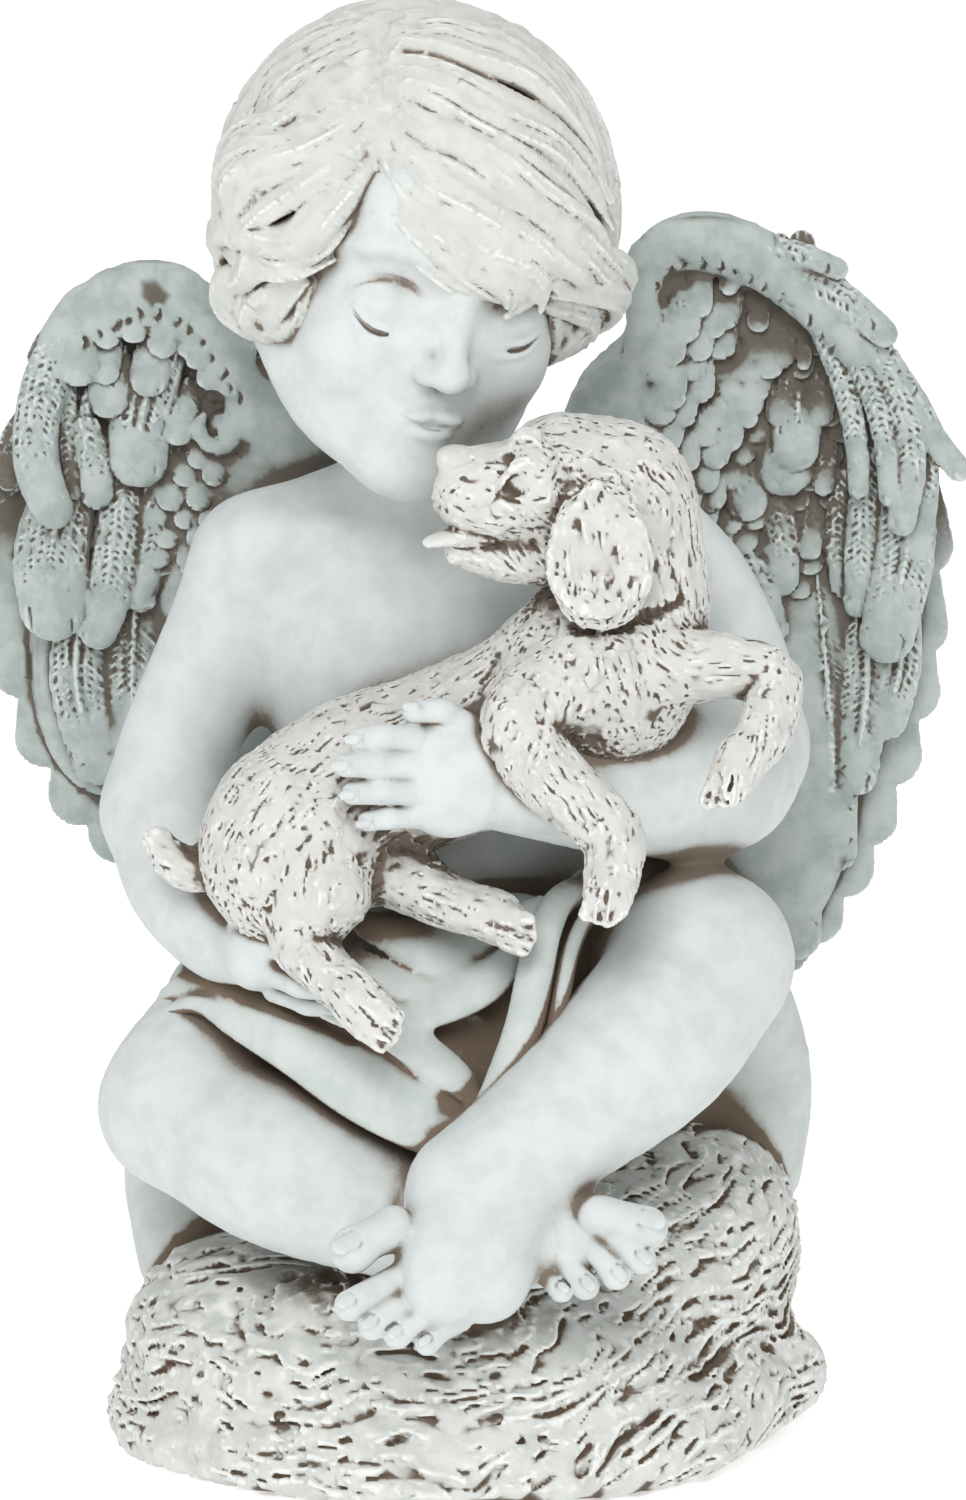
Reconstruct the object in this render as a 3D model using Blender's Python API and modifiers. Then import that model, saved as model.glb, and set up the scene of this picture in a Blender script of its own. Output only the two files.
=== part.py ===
"""Garden statue of a winged child who sits cross-legged on a rock and holds a puppy.

The statue is one casting, so it is one closed solid. Its forms are laid down as tubes, balls and
flattened blades in three hundredths of the statue's height, then fused into one skin.
X runs to the viewer's right, the front faces -Y, and the underside lies on Z = 0.
"""
import math

import bmesh
import bpy
from mathutils import Euler, Matrix, Vector

HEIGHT = 0.300
MODULES = 300
MODULE = HEIGHT / MODULES

SKIN_STEP = 0.95
SKIN_SMOOTHING = 4
SOLID_TRIANGLES = 9300
SLIVER = 0.02

STONE_COLOUR = (0.66, 0.71, 0.67, 1.0)
STONE_ROUGHNESS = 0.72

HEAD_PLACE = Vector((-12.0, -16.0, 253.0))
HEAD_TURN = Euler((math.radians(16), math.radians(9), math.radians(18)))
SCALP_CENTRE = Vector((0.0, 5.0, 7.0))
SCALP_RADII = Vector((34.0, 38.0, 37.0))
HAIR_FLAT = 0.55
FEATHER_FLAT = 0.28


class Clay:
    """Collects the statue's forms: solid balls and blades in a mesh, tubes as splines of one curve."""

    def __init__(self):
        self.mesh = bmesh.new()
        self.tubes = bpy.data.curves.new("tubes", "CURVE")
        self.tubes.dimensions = "3D"
        self.tubes.bevel_depth = 1.0
        self.tubes.bevel_resolution = 3
        self.tubes.resolution_u = 5
        self.tubes.use_fill_caps = True

    def mass(self, centre, radii, turn=(0, 0, 0)):
        """A ball stretched along its own axes, then turned by degrees about X, Y and Z."""
        tilt = Euler([math.radians(angle) for angle in turn]).to_matrix().to_4x4()
        place = Matrix.Translation(centre) @ tilt @ Matrix.Diagonal((*radii, 1))
        bmesh.ops.create_uvsphere(self.mesh, u_segments=20, v_segments=12, radius=1, matrix=place)

    def limb(self, points, radii):
        """A round tube through the points, with a ball at each end."""
        if not isinstance(radii, (list, tuple)):
            radii = [radii] * len(points)
        spline = self.tubes.splines.new("BEZIER")
        spline.bezier_points.add(len(points) - 1)
        for knot, point, radius in zip(spline.bezier_points, points, radii):
            knot.co = point
            knot.radius = radius
            knot.handle_left_type = "AUTO"
            knot.handle_right_type = "AUTO"
        for point, radius in ((points[0], radii[0]), (points[-1], radii[-1])):
            self.mass(point, (radius, radius, radius))

    def blade(self, points, widths, flat, facing):
        """A tube of flattened section, such as a lock or a feather: facing is across its thin way."""
        points = [Vector(point) for point in points]
        facings = facing if isinstance(facing, list) else [facing] * len(points)
        rings = []
        sides = 10
        for index, (point, width) in enumerate(zip(points, widths)):
            ahead = points[min(index + 1, len(points) - 1)] - points[max(index - 1, 0)]
            ahead.normalize()
            across = ahead.cross(Vector(facings[index])).normalized()
            thin = across.cross(ahead)
            ring = []
            for step in range(sides):
                angle = math.tau * step / sides
                side = across * (math.cos(angle) * width)
                rise = thin * (math.sin(angle) * width * flat)
                ring.append(self.mesh.verts.new(point + side + rise))
            rings.append(ring)
        for near, far in zip(rings, rings[1:]):
            for step in range(sides):
                after = (step + 1) % sides
                self.mesh.faces.new((near[step], near[after], far[after], far[step]))
        self.mesh.faces.new(list(reversed(rings[0])))
        self.mesh.faces.new(rings[-1])

    def fused(self):
        """All forms in one mesh."""
        guide = bpy.data.objects.new("tubes", self.tubes)
        bpy.context.scene.collection.objects.link(guide)
        evaluated = guide.evaluated_get(bpy.context.evaluated_depsgraph_get())
        tube_mesh = bpy.data.meshes.new_from_object(evaluated)
        self.mesh.from_mesh(tube_mesh)
        bpy.data.objects.remove(guide)
        bmesh.ops.remove_doubles(self.mesh, verts=self.mesh.verts, dist=0.0001)
        bmesh.ops.recalc_face_normals(self.mesh, faces=self.mesh.faces)
        mesh = bpy.data.meshes.new("forms")
        self.mesh.to_mesh(mesh)
        self.mesh.free()
        return mesh


def spread(first, last, share):
    """The point at a share of the way from the first to the last."""
    return Vector(first).lerp(Vector(last), share)


def on_head(point):
    """A point given in the head's own frame: X to its left ear, -Y its face, Z its crown."""
    turned = Vector(point)
    turned.rotate(HEAD_TURN)
    return HEAD_PLACE + turned


def on_scalp(bearing, rise, lift):
    """A point over the scalp: bearing from the face towards the left ear, rise above the ears."""
    around = math.radians(bearing)
    up = math.radians(rise)
    out = Vector((math.sin(around) * math.cos(up), -math.cos(around) * math.cos(up), math.sin(up)))
    reach = SCALP_RADII + Vector((lift, lift, lift))
    return on_head(SCALP_CENTRE + Vector(a * b for a, b in zip(out, reach)))


def head(clay):
    """Skull, face, ears and neck: a calm child's face that looks down."""
    turn = [math.degrees(angle) for angle in HEAD_TURN]

    def lump(centre, radii):
        clay.mass(on_head(centre), radii, turn)

    def roll(points, radii):
        clay.limb([on_head(point) for point in points], radii)

    lump((0, 5, 9), (33, 38, 36))
    lump((0, -9, -3), (27.5, 27, 30))
    lump((0, -22, -26), (15, 14, 14))
    lump((0, -29, -37), (8, 7, 7))
    lump((0, -27, 14), (22, 11.5, 15))
    for side in (-1, 1):
        roll(((24 * side, 0, -19), (16 * side, -16, -31), (5 * side, -26, -38)), [9, 9, 7.5])
        lump((14.5 * side, -22.5, -15.5), (11.5, 11.5, 12.5))
        lump((12.8 * side, -28.6, -4.2), (8, 6.6, 5.6))
        roll(((5 * side, -33.6, 6.5), (12 * side, -33.6, 9.2), (19 * side, -29.5, 8.4)), [2.4, 2.6, 2.4])
        lump((33 * side, 5, -8), (4, 7, 11))
        lump((4.2 * side, -36, -15.8), (3.0, 3.6, 2.8))
    roll(((0, -33, 4), (0, -35.6, -4), (0, -38, -11), (0, -38.8, -14.5)), [2.8, 3.1, 3.5, 4.2])
    lump((0, -30.5, -26.5), (10, 6.5, 8))
    lump((0, -34.2, -24.4), (7.4, 4.2, 2.3))
    lump((0, -33.8, -29.4), (5.6, 4.4, 2.4))
    clay.limb([(-5, 8, 178), (-8, 2, 196), (-11, -3, 214), (-12, -4, 228)], [22, 16, 15, 17])


def hair(clay):
    """Wavy hair parted over the brow: a cap, long locks over it, and curls round the ears."""
    turn = [math.degrees(angle) for angle in HEAD_TURN]
    clay.mass(on_head((0, 10, 13)), (36.5, 35.5, 35.5), turn)
    for index in range(7):
        share = index / 6
        clay_lock(clay, [(-38 - 42 * (1 - share) ** 2, 66 - 44 * share, 3),
                         (-20 + 10 * share, 68 - 48 * share, 5), (29 - 42 * share, 71 - 62 * share, 6),
                         (46 - 36 * share, 50 - 48 * share, 7),
                         (56 - 40 * share ** 2, 30 - 38 * share, 7)], (4.5, 6.5, 7, 6.5, 4.5))
    for index in range(5):
        share = index / 4
        clay_lock(clay, [(-80 + 42 * share, 61 - 39 * share, 3), (-80 + 36 * share, 40 - 30 * share, 5),
                         (-76 + 24 * share, 24 - 26 * share, 7), (-72, 12 - 22 * share, 9)],
                  (4.5, 6.5, 6, 4.5))
    for index in range(12):
        bearing = 66 + 20 * index
        clay_lock(clay, [(bearing, 72, 3), (bearing + 6, 44, 4), (bearing - 4, 14, 6), (bearing + 6, -12, 6),
                         (bearing - 2, -34, 4)], (5, 9, 9.5, 8, 5))
    for bearing, rise, lift in ((-70, 2, 10), (-78, -12, 10), (-66, -24, 8), (-64, -36, 6), (-84, -30, 8),
                                (48, -2, 8), (60, -12, 9), (60, -26, 8), (50, -36, 5), (74, -30, 8)):
        curl = [(bearing + 10, rise + 9, lift - 3), (bearing - 3, rise + 6, lift),
                (bearing - 5, rise - 4, lift), (bearing + 6, rise - 6, lift - 2)]
        clay.limb([on_scalp(*place) for place in curl], [3.6, 4.2, 4.2, 3.6])


def clay_lock(clay, path, widths):
    """A flattened lock that lies on the scalp along bearings, rises and lifts."""
    points = [on_scalp(*place) for place in path]
    middle = on_head(SCALP_CENTRE)
    clay.blade(points, widths, HAIR_FLAT, [point - middle for point in points])


def torso(clay):
    """Hips, belly, chest and shoulders."""
    clay.mass((-2, 12, 84), (44, 32, 26))
    clay.mass((-4, 2, 116), (37, 30, 34))
    clay.mass((-7, 3, 155), (38, 26, 34), (8, -4, 0))
    clay.mass((-24, -8, 168), (20, 16, 18), (0, 0, -20))
    clay.limb([(-45, 6, 181), (-24, 6, 190), (-2, 8, 194), (31, 7, 188)], [15, 15, 15, 15])
    clay.limb([(-5, 26, 188), (-5, 27, 150), (-4, 28, 110)], [9, 10, 12])


def arms(clay):
    """The right arm holds the puppy's rump from below, the left one holds its body."""
    clay.limb([(-45, 6, 181), (-54, 4, 162), (-63, -2, 143), (-66, -8, 131)], [14.5, 13.3, 12.2, 11.8])
    clay.limb([(-66, -8, 131), (-61, -22, 119), (-53, -35, 111), (-48, -43, 109)], [11.8, 12, 10.2, 8])
    clay.mass((-44, -50, 109.5), (8, 8, 8), (0, 20, 40))
    for root, middle, tip in (((-44, -54, 112), (-38, -60.5, 112.5), (-32.5, -62, 111.5)),
                              ((-42, -53, 106), (-35.5, -60.5, 105.5), (-28.5, -61.5, 104.5)),
                              ((-41, -50, 100), (-34, -56, 98.8), (-28, -57, 98.2)),
                              ((-48, -49, 116), (-46.5, -56, 120), (-42.2, -59.5, 120))):
        clay.limb([root, middle, tip], [2.9, 2.7, 2.5])
    clay.limb([(32, 7, 187), (45, 6, 177), (54, 2, 160), (56, -9, 147)], [14, 13, 12.5, 13])
    clay.limb([(54, -14, 144), (48, -29, 142), (27, -48, 143.5), (12, -58, 146), (3, -62, 147.5)],
              [15, 16.5, 13.4, 11, 9.6])
    clay.mass((-5.5, -65.5, 148.6), (11, 6, 12.2), (0, 0, -8))
    for index, reach in enumerate((0, 2.5, 1.1, -1.9)):
        height = 157 - 5.6 * index
        clay.limb([(-10, -67, height), (-18, -69, height + 0.5), (-23.5 - reach, -67, height - 0.4)],
                  [2.9, 2.7, 2.5])
    clay.limb([(-1, -65, 160), (-6.5, -67, 163.4), (-12.5, -67, 163.2)], [2.9, 2.7, 2.5])


def legs(clay):
    """Crossed legs: the left shin lies over the right ankle."""
    clay.limb([(-24, 14, 86), (-42, -6, 85), (-57, -25, 78), (-62, -29, 73)], [24, 21.5, 17.5, 15.5])
    clay.limb([(-61, -28, 71), (-42, -46, 65), (-22, -55, 58), (-4, -62, 53)], [15.5, 17.5, 14.5, 11])
    clay.limb([(-4, -62, 53), (10, -68, 54), (20, -74, 55)], [11, 10.5, 8.5])
    clay.limb([(22, 14, 90), (34, -16, 100), (46, -38, 106)], [24, 20.5, 17.5])
    clay.limb([(48, -42, 106), (36, -56, 93), (16, -69, 78), (-1, -77, 67)], [17.5, 18.2, 14.5, 12])
    clay.limb([(-1, -76, 64), (2, -80, 54), (3, -81, 48)], [12, 10.5, 8])
    clay.limb([(-3, -80, 60), (-8, -86, 54), (-9, -88, 49)], [11, 10, 8.5])
    for root, tip, radius in right_toes() + left_toes():
        clay.limb([root, spread(root, tip, 0.55), tip], [radius, radius * 0.9, radius])


def right_toes():
    """Root, tip and radius of each toe of the foot at the viewer's right, big toe first."""
    roots = ((24.5, -79, 61.5), (27, -79, 58), (22, -78.5, 55.5), (16.5, -77.5, 52.5), (12, -76, 49.5))
    tips = ((34.3, -83, 61), (33.8, -85, 53.8), (28.4, -84.5, 49), (22.2, -83.5, 45.6), (16.4, -81.5, 44))
    return list(zip(roots, tips, (4.5, 2.9, 2.8, 2.7, 2.5)))


def left_toes():
    """Root, tip and radius of each toe of the foot that crosses in front, big toe first."""
    roots = ((-15, -86, 60), (-13, -87.5, 52), (-11.5, -88.5, 47), (-7.5, -88.5, 43.5), (-3, -87, 41))
    tips = ((-24.4, -90.5, 58), (-25, -95.5, 48), (-21, -95.5, 42.4), (-15.5, -94.5, 38.6), (-9, -92.5, 36.4))
    return list(zip(roots, tips, (4.8, 3.0, 2.8, 2.7, 2.5)))


def drapery(clay):
    """Cloth over the lap: a rolled hem, and folds that run together at the left hip."""
    clay.mass((-2, -12, 92), (44, 34, 22), (12, 0, 0))
    clay.mass((-6, -40, 86), (27, 17, 15), (30, 0, 0))
    clay.mass((-40, -12, 88), (26, 24, 20), (0, 8, 20))
    clay.mass((6, -30, 104), (22, 14, 14), (30, 0, 0))
    clay.blade([(-56, -28, 99), (-44, -43, 96), (-28, -53, 90.5), (-12, -62, 83)], (6, 8.5, 8.5, 6), 0.42,
               (0.15, -1, 0.55))
    hem = [(-66, -16, 88), (-63, -24, 95), (-54, -34, 100), (-45, -44, 97), (-35, -52, 91), (-23, -58.5, 84),
           (-12, -64, 78.6), (-3, -67.5, 75.6)]
    clay.limb(hem, [2.4, 3, 3.4, 3.8, 4, 3.8, 3.6, 3.2])
    rising = [(-4, -67.5, 75), (3, -67, 80.5), (7.4, -65.5, 89.7), (10.2, -63, 98), (12.2, -58.5, 107),
              (14.2, -52, 114.4), (18, -44, 119.5), (26, -36, 121)]
    clay.limb(rising, [3.2, 3.6, 3.8, 3.7, 3.6, 3.4, 3, 2.8])
    for fold in ([(-30, -57, 98.5), (-11, -60, 91.2), (0.5, -64, 81)],
                 [(-24, -53, 97.0), (-2, -53.5, 101.4), (10.2, -48, 111.5)],
                 [(-22, -44, 114), (-2, -46.5, 108.2), (12.5, -43, 115)]):
        clay.limb(fold, [2.4, 3.4, 2.4])
    clay.limb([(30, -26, 118), (44, -18, 119), (52, -4, 112)], [6, 6, 6])
    clay.limb([(40, 16, 104), (54, 20, 84), (61, 22, 66), (59, 20, 48)], [15, 14, 12, 12])
    clay.limb([(-36, 22, 92), (-56, 20, 70), (-62, 18, 48), (-60, 12, 28)], [20, 16, 14, 13])
    clay.mass((-2, 26, 80), (46, 22, 30))
    clay.mass((-3, 22, 64), (56, 35, 46))
    for index in range(9):
        angle = math.radians(190 - 25 * index)
        high = Vector((-2 + 44 * math.cos(angle), 22 + 22 * math.sin(angle), 106 - 3 * (index % 2)))
        low = Vector((-3 + 57 * math.cos(angle), 23 + 29 * math.sin(angle), 34 + 4 * (index % 3)))
        side = spread(high, low, 0.55) + Vector((3 * math.cos(angle), 4 * math.sin(angle), 0))
        clay.limb([high, side, low], [4, 5, 6])


def puppy(clay):
    """The puppy lies in the arms, its head raised to the child's cheek."""
    clay.limb([(-36, -44, 134), (-24, -43, 143), (-8, -44, 149), (10, -46, 157), (24, -46, 166)],
              [19, 18, 17.5, 18, 18])
    clay.mass((-36, -52, 131), (19, 15, 20), (0, 20, 0))
    clay.mass((24, -50, 166), (19, 17, 18))
    clay.limb([(26, -46, 168), (32, -44, 180), (30, -44, 194)], [18, 16.5, 15.5])
    clay.mass((26, -45, 202), (19, 16, 17.5), (0, -8, 0))
    clay.limb([(20, -50, 203), (8, -54, 204.5), (0, -56, 205)], [12.5, 10, 8.2])
    clay.mass((-4.2, -57, 212), (3.6, 4.2, 3.0))
    clay.limb([(12, -55, 193), (3, -56, 192.5), (-4, -56, 194.5)], [6.5, 4.6, 3.4])
    clay.blade([(2, -57, 198.5), (-5, -59, 197.4), (-11, -60, 196.6)], (3.2, 3.0, 2.4), 0.5, (0, -0.3, 1))
    clay.blade([(25, -62, 209), (24.8, -65, 200), (25, -66, 191), (25, -65, 184)], (5, 8.5, 10, 6), 0.32,
               (0.1, -1, 0))
    clay.blade([(30, -30, 207), (33, -25, 198), (34, -23, 186)], (7, 10, 6), 0.32, (0.3, 1, 0))
    clay.limb([(-50, -42, 134), (-56, -44, 126), (-62, -45, 127), (-65, -45, 132)], [5.5, 4.5, 4, 3.2])
    clay.limb([(-30, -60, 124), (-36, -60, 115), (-30, -66, 108), (-22, -71, 104)], [9, 6, 5.5, 5.5])
    clay.limb([(-18, -50, 128), (-6, -56, 121), (4, -60, 119)], [8, 6, 5.5])
    clay.limb([(20, -58, 168), (8, -66, 160), (16, -71, 149), (28, -74, 139), (28, -78, 131)],
              [10, 8, 7, 6, 5.5])
    clay.limb([(36, -54, 168), (50, -56, 169), (59, -58, 166), (57, -66, 158), (52, -70, 153)],
              [8.5, 6.5, 5.5, 5, 5])
    for toe in range(3):
        clay.limb([(24 + 3.6 * toe, -80, 130), (23 + 3.6 * toe, -82, 126.5)], [2.5, 2.5])
        clay.limb([(48.5 + 3.2 * toe, -73, 152), (48 + 3.2 * toe, -74.5, 149)], [2.4, 2.4])
        clay.limb([(-22 + 2.6 * toe, -74, 101 + 2.5 * toe), (-19.5 + 2.6 * toe, -75.5, 100 + 2.5 * toe)],
                  [2.4, 2.4])


def wing(clay, root, elbow, bend, tips, depth):
    """A half-spread wing: a thick leading edge, short coverts, then fans of long feathers.

    root, elbow and bend are places on the leading edge, and tips are the ends of the long feathers.
    """
    side = 1 if bend[0] > 0 else -1
    edge = [Vector(root), spread(root, elbow, 0.5) + Vector((0, 0, 6)), Vector(elbow), Vector(bend)]
    clay.limb(edge, [9, 8, 8, 6])
    facing = Vector((-0.15 * side, -1, 0.1))
    for row, (low, thick_row, back) in enumerate(((1.0, 7.5, 2), (0.66, 6.5, -3), (0.42, 5.5, -6))):
        for index, tip in enumerate(tips):
            share = index / (len(tips) - 1)
            start = along(edge, 1 - share)
            end = start.lerp(Vector(tip), low) + Vector((0, back, 0))
            start = start + Vector((0, back * 0.6, 0))
            bow = Vector((3 * side, depth, 0))
            points = [start, start.lerp(end, 0.35) + bow, start.lerp(end, 0.75) + bow,
                      start.lerp(end, 0.94), end]
            widths = [5] + [thick_row * swell for swell in (1, 1.15, 1, 0.6)]
            clay.blade(points, widths, FEATHER_FLAT, facing)


def along(path, share):
    """A point at a share of the way along a line of points."""
    place = max(0, min(share, 1)) * (len(path) - 1)
    index = min(int(place), len(path) - 2)
    return path[index].lerp(path[index + 1], place - index)


def wings(clay):
    """The viewer's left wing folds down behind the arm, and the right one spreads wider."""
    left_tips = ((-98, 36, 172), (-99, 36, 160), (-94, 37, 148), (-88, 38, 136), (-82, 38, 126),
                 (-74, 38, 116), (-66, 36, 110), (-56, 34, 108), (-46, 32, 112))
    wing(clay, (-30, 26, 196), (-60, 34, 233), (-90, 34, 212), left_tips, 1)
    right_tips = ((103, 30, 202), (101, 31, 182), (100, 32, 164), (96, 32, 144), (90, 32, 126),
                  (82, 32, 110), (74, 31, 96), (66, 30, 90), (54, 28, 104))
    wing(clay, (22, 26, 196), (44, 33, 240), (84, 32, 228), right_tips, 1)
    clay.limb([(-16, 24, 186), (-30, 28, 200), (-42, 32, 216)], [10, 9, 8])
    clay.limb([(10, 24, 186), (24, 28, 205), (34, 32, 226)], [10, 9, 8])


def rock(clay):
    """A low rock with a flat underside and layers that climb towards the viewer's right."""
    for centre, radii, tilt in (((-2, 0, 8), (70, 62, 34), 0), ((-26, -14, 12), (48, 50, 28), 6),
                                ((30, 0, 26), (38, 50, 32), -14), ((-4, -46, 15), (50, 30, 26), -6),
                                ((50, 2, 40), (19, 32, 18), -20), ((-10, 28, 28), (52, 34, 32), 0)):
        clay.mass(centre, radii, (0, tilt, 0))
        strata(clay, Vector(centre), radii)


def strata(clay, centre, radii):
    """Wavy ridges that run round one of the rock's lumps and climb to the right."""
    count = round(radii[2] / 6)
    for layer in range(count):
        share = -0.5 + 1.35 * layer / count
        ring = []
        for step in range(17):
            angle = math.tau * step / 16
            height = share + 0.16 * math.cos(angle) + 0.05 * math.sin(3 * angle + 2 * layer)
            reach = math.sqrt(max(0.05, 1 - height * height)) * (1 + 0.015 * math.sin(5 * angle + layer))
            across = Vector((radii[0] * math.cos(angle), radii[1] * math.sin(angle), 0)) * reach
            ring.append(centre + across + Vector((0, 0, radii[2] * height)))
        clay.limb(ring, 2.0)


def skin(forms):
    """One closed skin over all forms, thinned to the wanted number of triangles."""
    statue = bpy.data.objects.new("cherub_statue", forms)
    bpy.context.scene.collection.objects.link(statue)
    remesh = statue.modifiers.new("fuse", "REMESH")
    remesh.mode = "VOXEL"
    remesh.voxel_size = SKIN_STEP
    soften = statue.modifiers.new("soften", "SMOOTH")
    soften.factor = 0.5
    soften.iterations = SKIN_SMOOTHING
    fused = settle(statue)
    thin = statue.modifiers.new("thin", "DECIMATE")
    thin.ratio = SOLID_TRIANGLES / (2 * len(fused.polygons))
    settle(statue)
    return statue


def settle(statue):
    """Turns the modifiers' result into the object's own mesh."""
    evaluated = statue.evaluated_get(bpy.context.evaluated_depsgraph_get())
    mesh = bpy.data.meshes.new_from_object(evaluated)
    statue.modifiers.clear()
    statue.data = mesh
    return mesh


def level(statue):
    """Cuts the underside flat at the ground and brings the statue to its real size."""
    mesh = bmesh.new()
    mesh.from_mesh(statue.data)
    everything = mesh.verts[:] + mesh.edges[:] + mesh.faces[:]
    bmesh.ops.bisect_plane(mesh, geom=everything, plane_co=(0, 0, 0), plane_no=(0, 0, 1), clear_inner=True)
    rim = [edge for edge in mesh.edges if edge.is_boundary]
    bmesh.ops.holes_fill(mesh, edges=rim, sides=0)
    bmesh.ops.dissolve_degenerate(mesh, edges=mesh.edges, dist=SLIVER)
    bmesh.ops.triangulate(mesh, faces=mesh.faces)
    keep_largest(mesh)
    tallest = max(vert.co.z for vert in mesh.verts)
    bmesh.ops.scale(mesh, vec=[MODULE * MODULES / tallest] * 3, verts=mesh.verts)
    mesh.to_mesh(statue.data)
    mesh.free()
    statue.data.shade_smooth()


def keep_largest(mesh):
    """Drops any crumb that the skin left beside the main body."""
    unseen = set(mesh.verts)
    islands = []
    while unseen:
        island = {unseen.pop()}
        edge_of = list(island)
        while edge_of:
            vert = edge_of.pop()
            for edge in vert.link_edges:
                other = edge.other_vert(vert)
                if other in unseen:
                    unseen.remove(other)
                    island.add(other)
                    edge_of.append(other)
        islands.append(island)
    largest = max(islands, key=len)
    crumbs = [vert for vert in mesh.verts if vert not in largest]
    bmesh.ops.delete(mesh, geom=crumbs, context="VERTS")


def stone():
    """Pale grey-green cast stone."""
    material = bpy.data.materials.new("cast_stone")
    material.use_nodes = True
    surface = material.node_tree.nodes["Principled BSDF"]
    surface.inputs["Base Color"].default_value = STONE_COLOUR
    surface.inputs["Roughness"].default_value = STONE_ROUGHNESS
    surface.inputs["Metallic"].default_value = 0.0
    return material


def build():
    for old in list(bpy.data.objects):
        bpy.data.objects.remove(old)
    clay = Clay()
    for form in (rock, drapery, torso, legs, arms, puppy, wings, head, hair):
        form(clay)
    statue = skin(clay.fused())
    level(statue)
    statue.data.materials.append(stone())
    group = bpy.data.collections.new("cherub_statue")
    bpy.context.scene.collection.children.link(group)
    for home in list(statue.users_collection):
        home.objects.unlink(statue)
    group.objects.link(statue)


build()
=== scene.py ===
"""Looks of the cherub statue: fine carved surfaces, patina with painted shade, and the photograph's view.

Every form is modelled as distances on a regular grid, in millimetres, and then meshed: tubes,
balls and flattened blades are joined softly, as a carver blends clay, and cuts are taken out.
"""

import math
from multiprocessing.pool import ThreadPool

import bpy
import numpy as np
import openvdb
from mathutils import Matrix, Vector


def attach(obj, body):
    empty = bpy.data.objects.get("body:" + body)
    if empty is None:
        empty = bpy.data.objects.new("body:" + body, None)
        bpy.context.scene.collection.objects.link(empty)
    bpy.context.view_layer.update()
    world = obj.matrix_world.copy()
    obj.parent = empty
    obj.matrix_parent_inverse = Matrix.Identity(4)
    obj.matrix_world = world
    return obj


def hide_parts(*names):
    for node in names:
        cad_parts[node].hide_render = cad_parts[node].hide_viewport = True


NODE = "cherub_statue"
MM = 0.001
COARSE = 1.0

# The grid: a distance that stands for empty space, and the steps kept on each side of the surface
FAR = 1000.0
SHELL = 3.0

# One turn of a carved wave, in radians
TURN = 6.28

# How strongly flat stretches of each piece's mesh are thinned out, from 0 to 1
THINNING = {"child": 0.035, "hair": 0.5, "puppy": 0.55, "wing_left": 0.52, "wing_right": 0.52,
            "drapery": 0.08, "rock": 0.6}

# Cast stone: body, cool, dirt-and-shade and chalk colours from 0 to 255, then how fine, deep and raised its
# marks are, and how strong the soil and painted shade are where parts shelter each other
STONES = {
    "skin_stone": ((206, 211, 210), (195, 202, 201), (112, 97, 82), (222, 226, 225), 0.7, 0.6, 0.5, 0.9),
    "cloth_stone": ((200, 206, 203), (188, 196, 192), (104, 86, 70), (226, 230, 228), 1.0, 2.0, 0.7, 2.2),
    "hair_stone": ((204, 206, 201), (194, 197, 191), (108, 94, 80), (230, 231, 228), 1.2, 1.2),
    "fur_stone": ((206, 206, 202), (196, 196, 191), (92, 80, 68), (232, 232, 229), 2.4, 2.0, 1.2, 1.4),
    "wing_stone": ((175, 183, 180), (153, 164, 161), (92, 84, 74), (212, 218, 216), 1.5, 1.7, 1, 2.0),
    "rock_stone": ((208, 210, 206), (192, 195, 189), (88, 74, 60), (236, 237, 233), 1.4, 1.3, 1.3),
}
COATED_WITH = {"child": "skin_stone", "drapery": "cloth_stone", "hair": "hair_stone", "puppy": "fur_stone",
               "wing_left": "wing_stone", "wing_right": "wing_stone", "rock": "rock_stone"}

# The studio: lamps with their place in metres, watts and side in metres, then the sky and the paper floor
LAMPS = {"key": ((-0.15, -1.5, 1.3), 17, 0.9), "top": ((0.0, 0.2, 1.8), 4, 1.0)}
SKY_STRENGTH = 0.62
PAPER_SIDE = 6.0
PAPER_DROP = 0.0004
PAPER_GLOW = 0.46

# The photograph's view: metres, degrees and millimetres of lens, and the frame's shift in its pixels
LOOK_AT = (0, 0, 0.150)
CAMERA_RISE = 10
CAMERA_DISTANCE = 1.40
LENS = 159.3
SENSOR = 36
PHOTO_HEIGHT = 1500
SHIFT_RIGHT, SHIFT_UP = 8, -35

# The head's place in millimetres and its turn in degrees, and the scalp as a ball in the head's frame
HEAD_PLACE = (-12.0, -16.0, 253.0)
HEAD_TURN = (16, 9, 18)
SCALP_CENTRE = np.array((0.0, 5.0, 7.0))
SCALP_RADII = np.array((34.0, 38.0, 37.0))

# Locks of hair as places on the scalp: bearing and rise in degrees, and millimetres of lift
RIGHT_LOCKS = (
    ((-80, 65, 5), (-38, 76, 6), (29, 71, 7), (46, 55, 8), (52, 36, 8)),
    ((-54, 55, 5), (-30, 58, 6), (6, 51, 7), (28, 42, 8), (44, 30, 8), (54, 16, 9)),
    ((-44, 47, 5), (-24, 46, 7), (-4, 41, 7), (15, 32, 8), (35, 21, 8), (46, 8, 9)),
    ((-38, 39, 4), (-26, 31, 6), (-8, 28, 7), (12, 20, 8), (30, 10, 9), (46, 2, 10), (50, -5, 9),
     (38, -7, 8)),
    ((-39, 34, 4), (-27, 23, 6), (-12, 18, 7), (4, 12, 8), (20, 3, 8), (33, -6, 8)),
    ((-38, 26, 3), (-29, 18, 5), (-16, 10, 6), (0, 4, 6), (14, 1, 7), (19, -3, 7), (15, -9, 6)),
    ((-38, 22, 2), (-31, 14, 3), (-19, 7, 4), (-5, 1, 5), (6, -2, 5), (13, -6, 6)),
)
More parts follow.
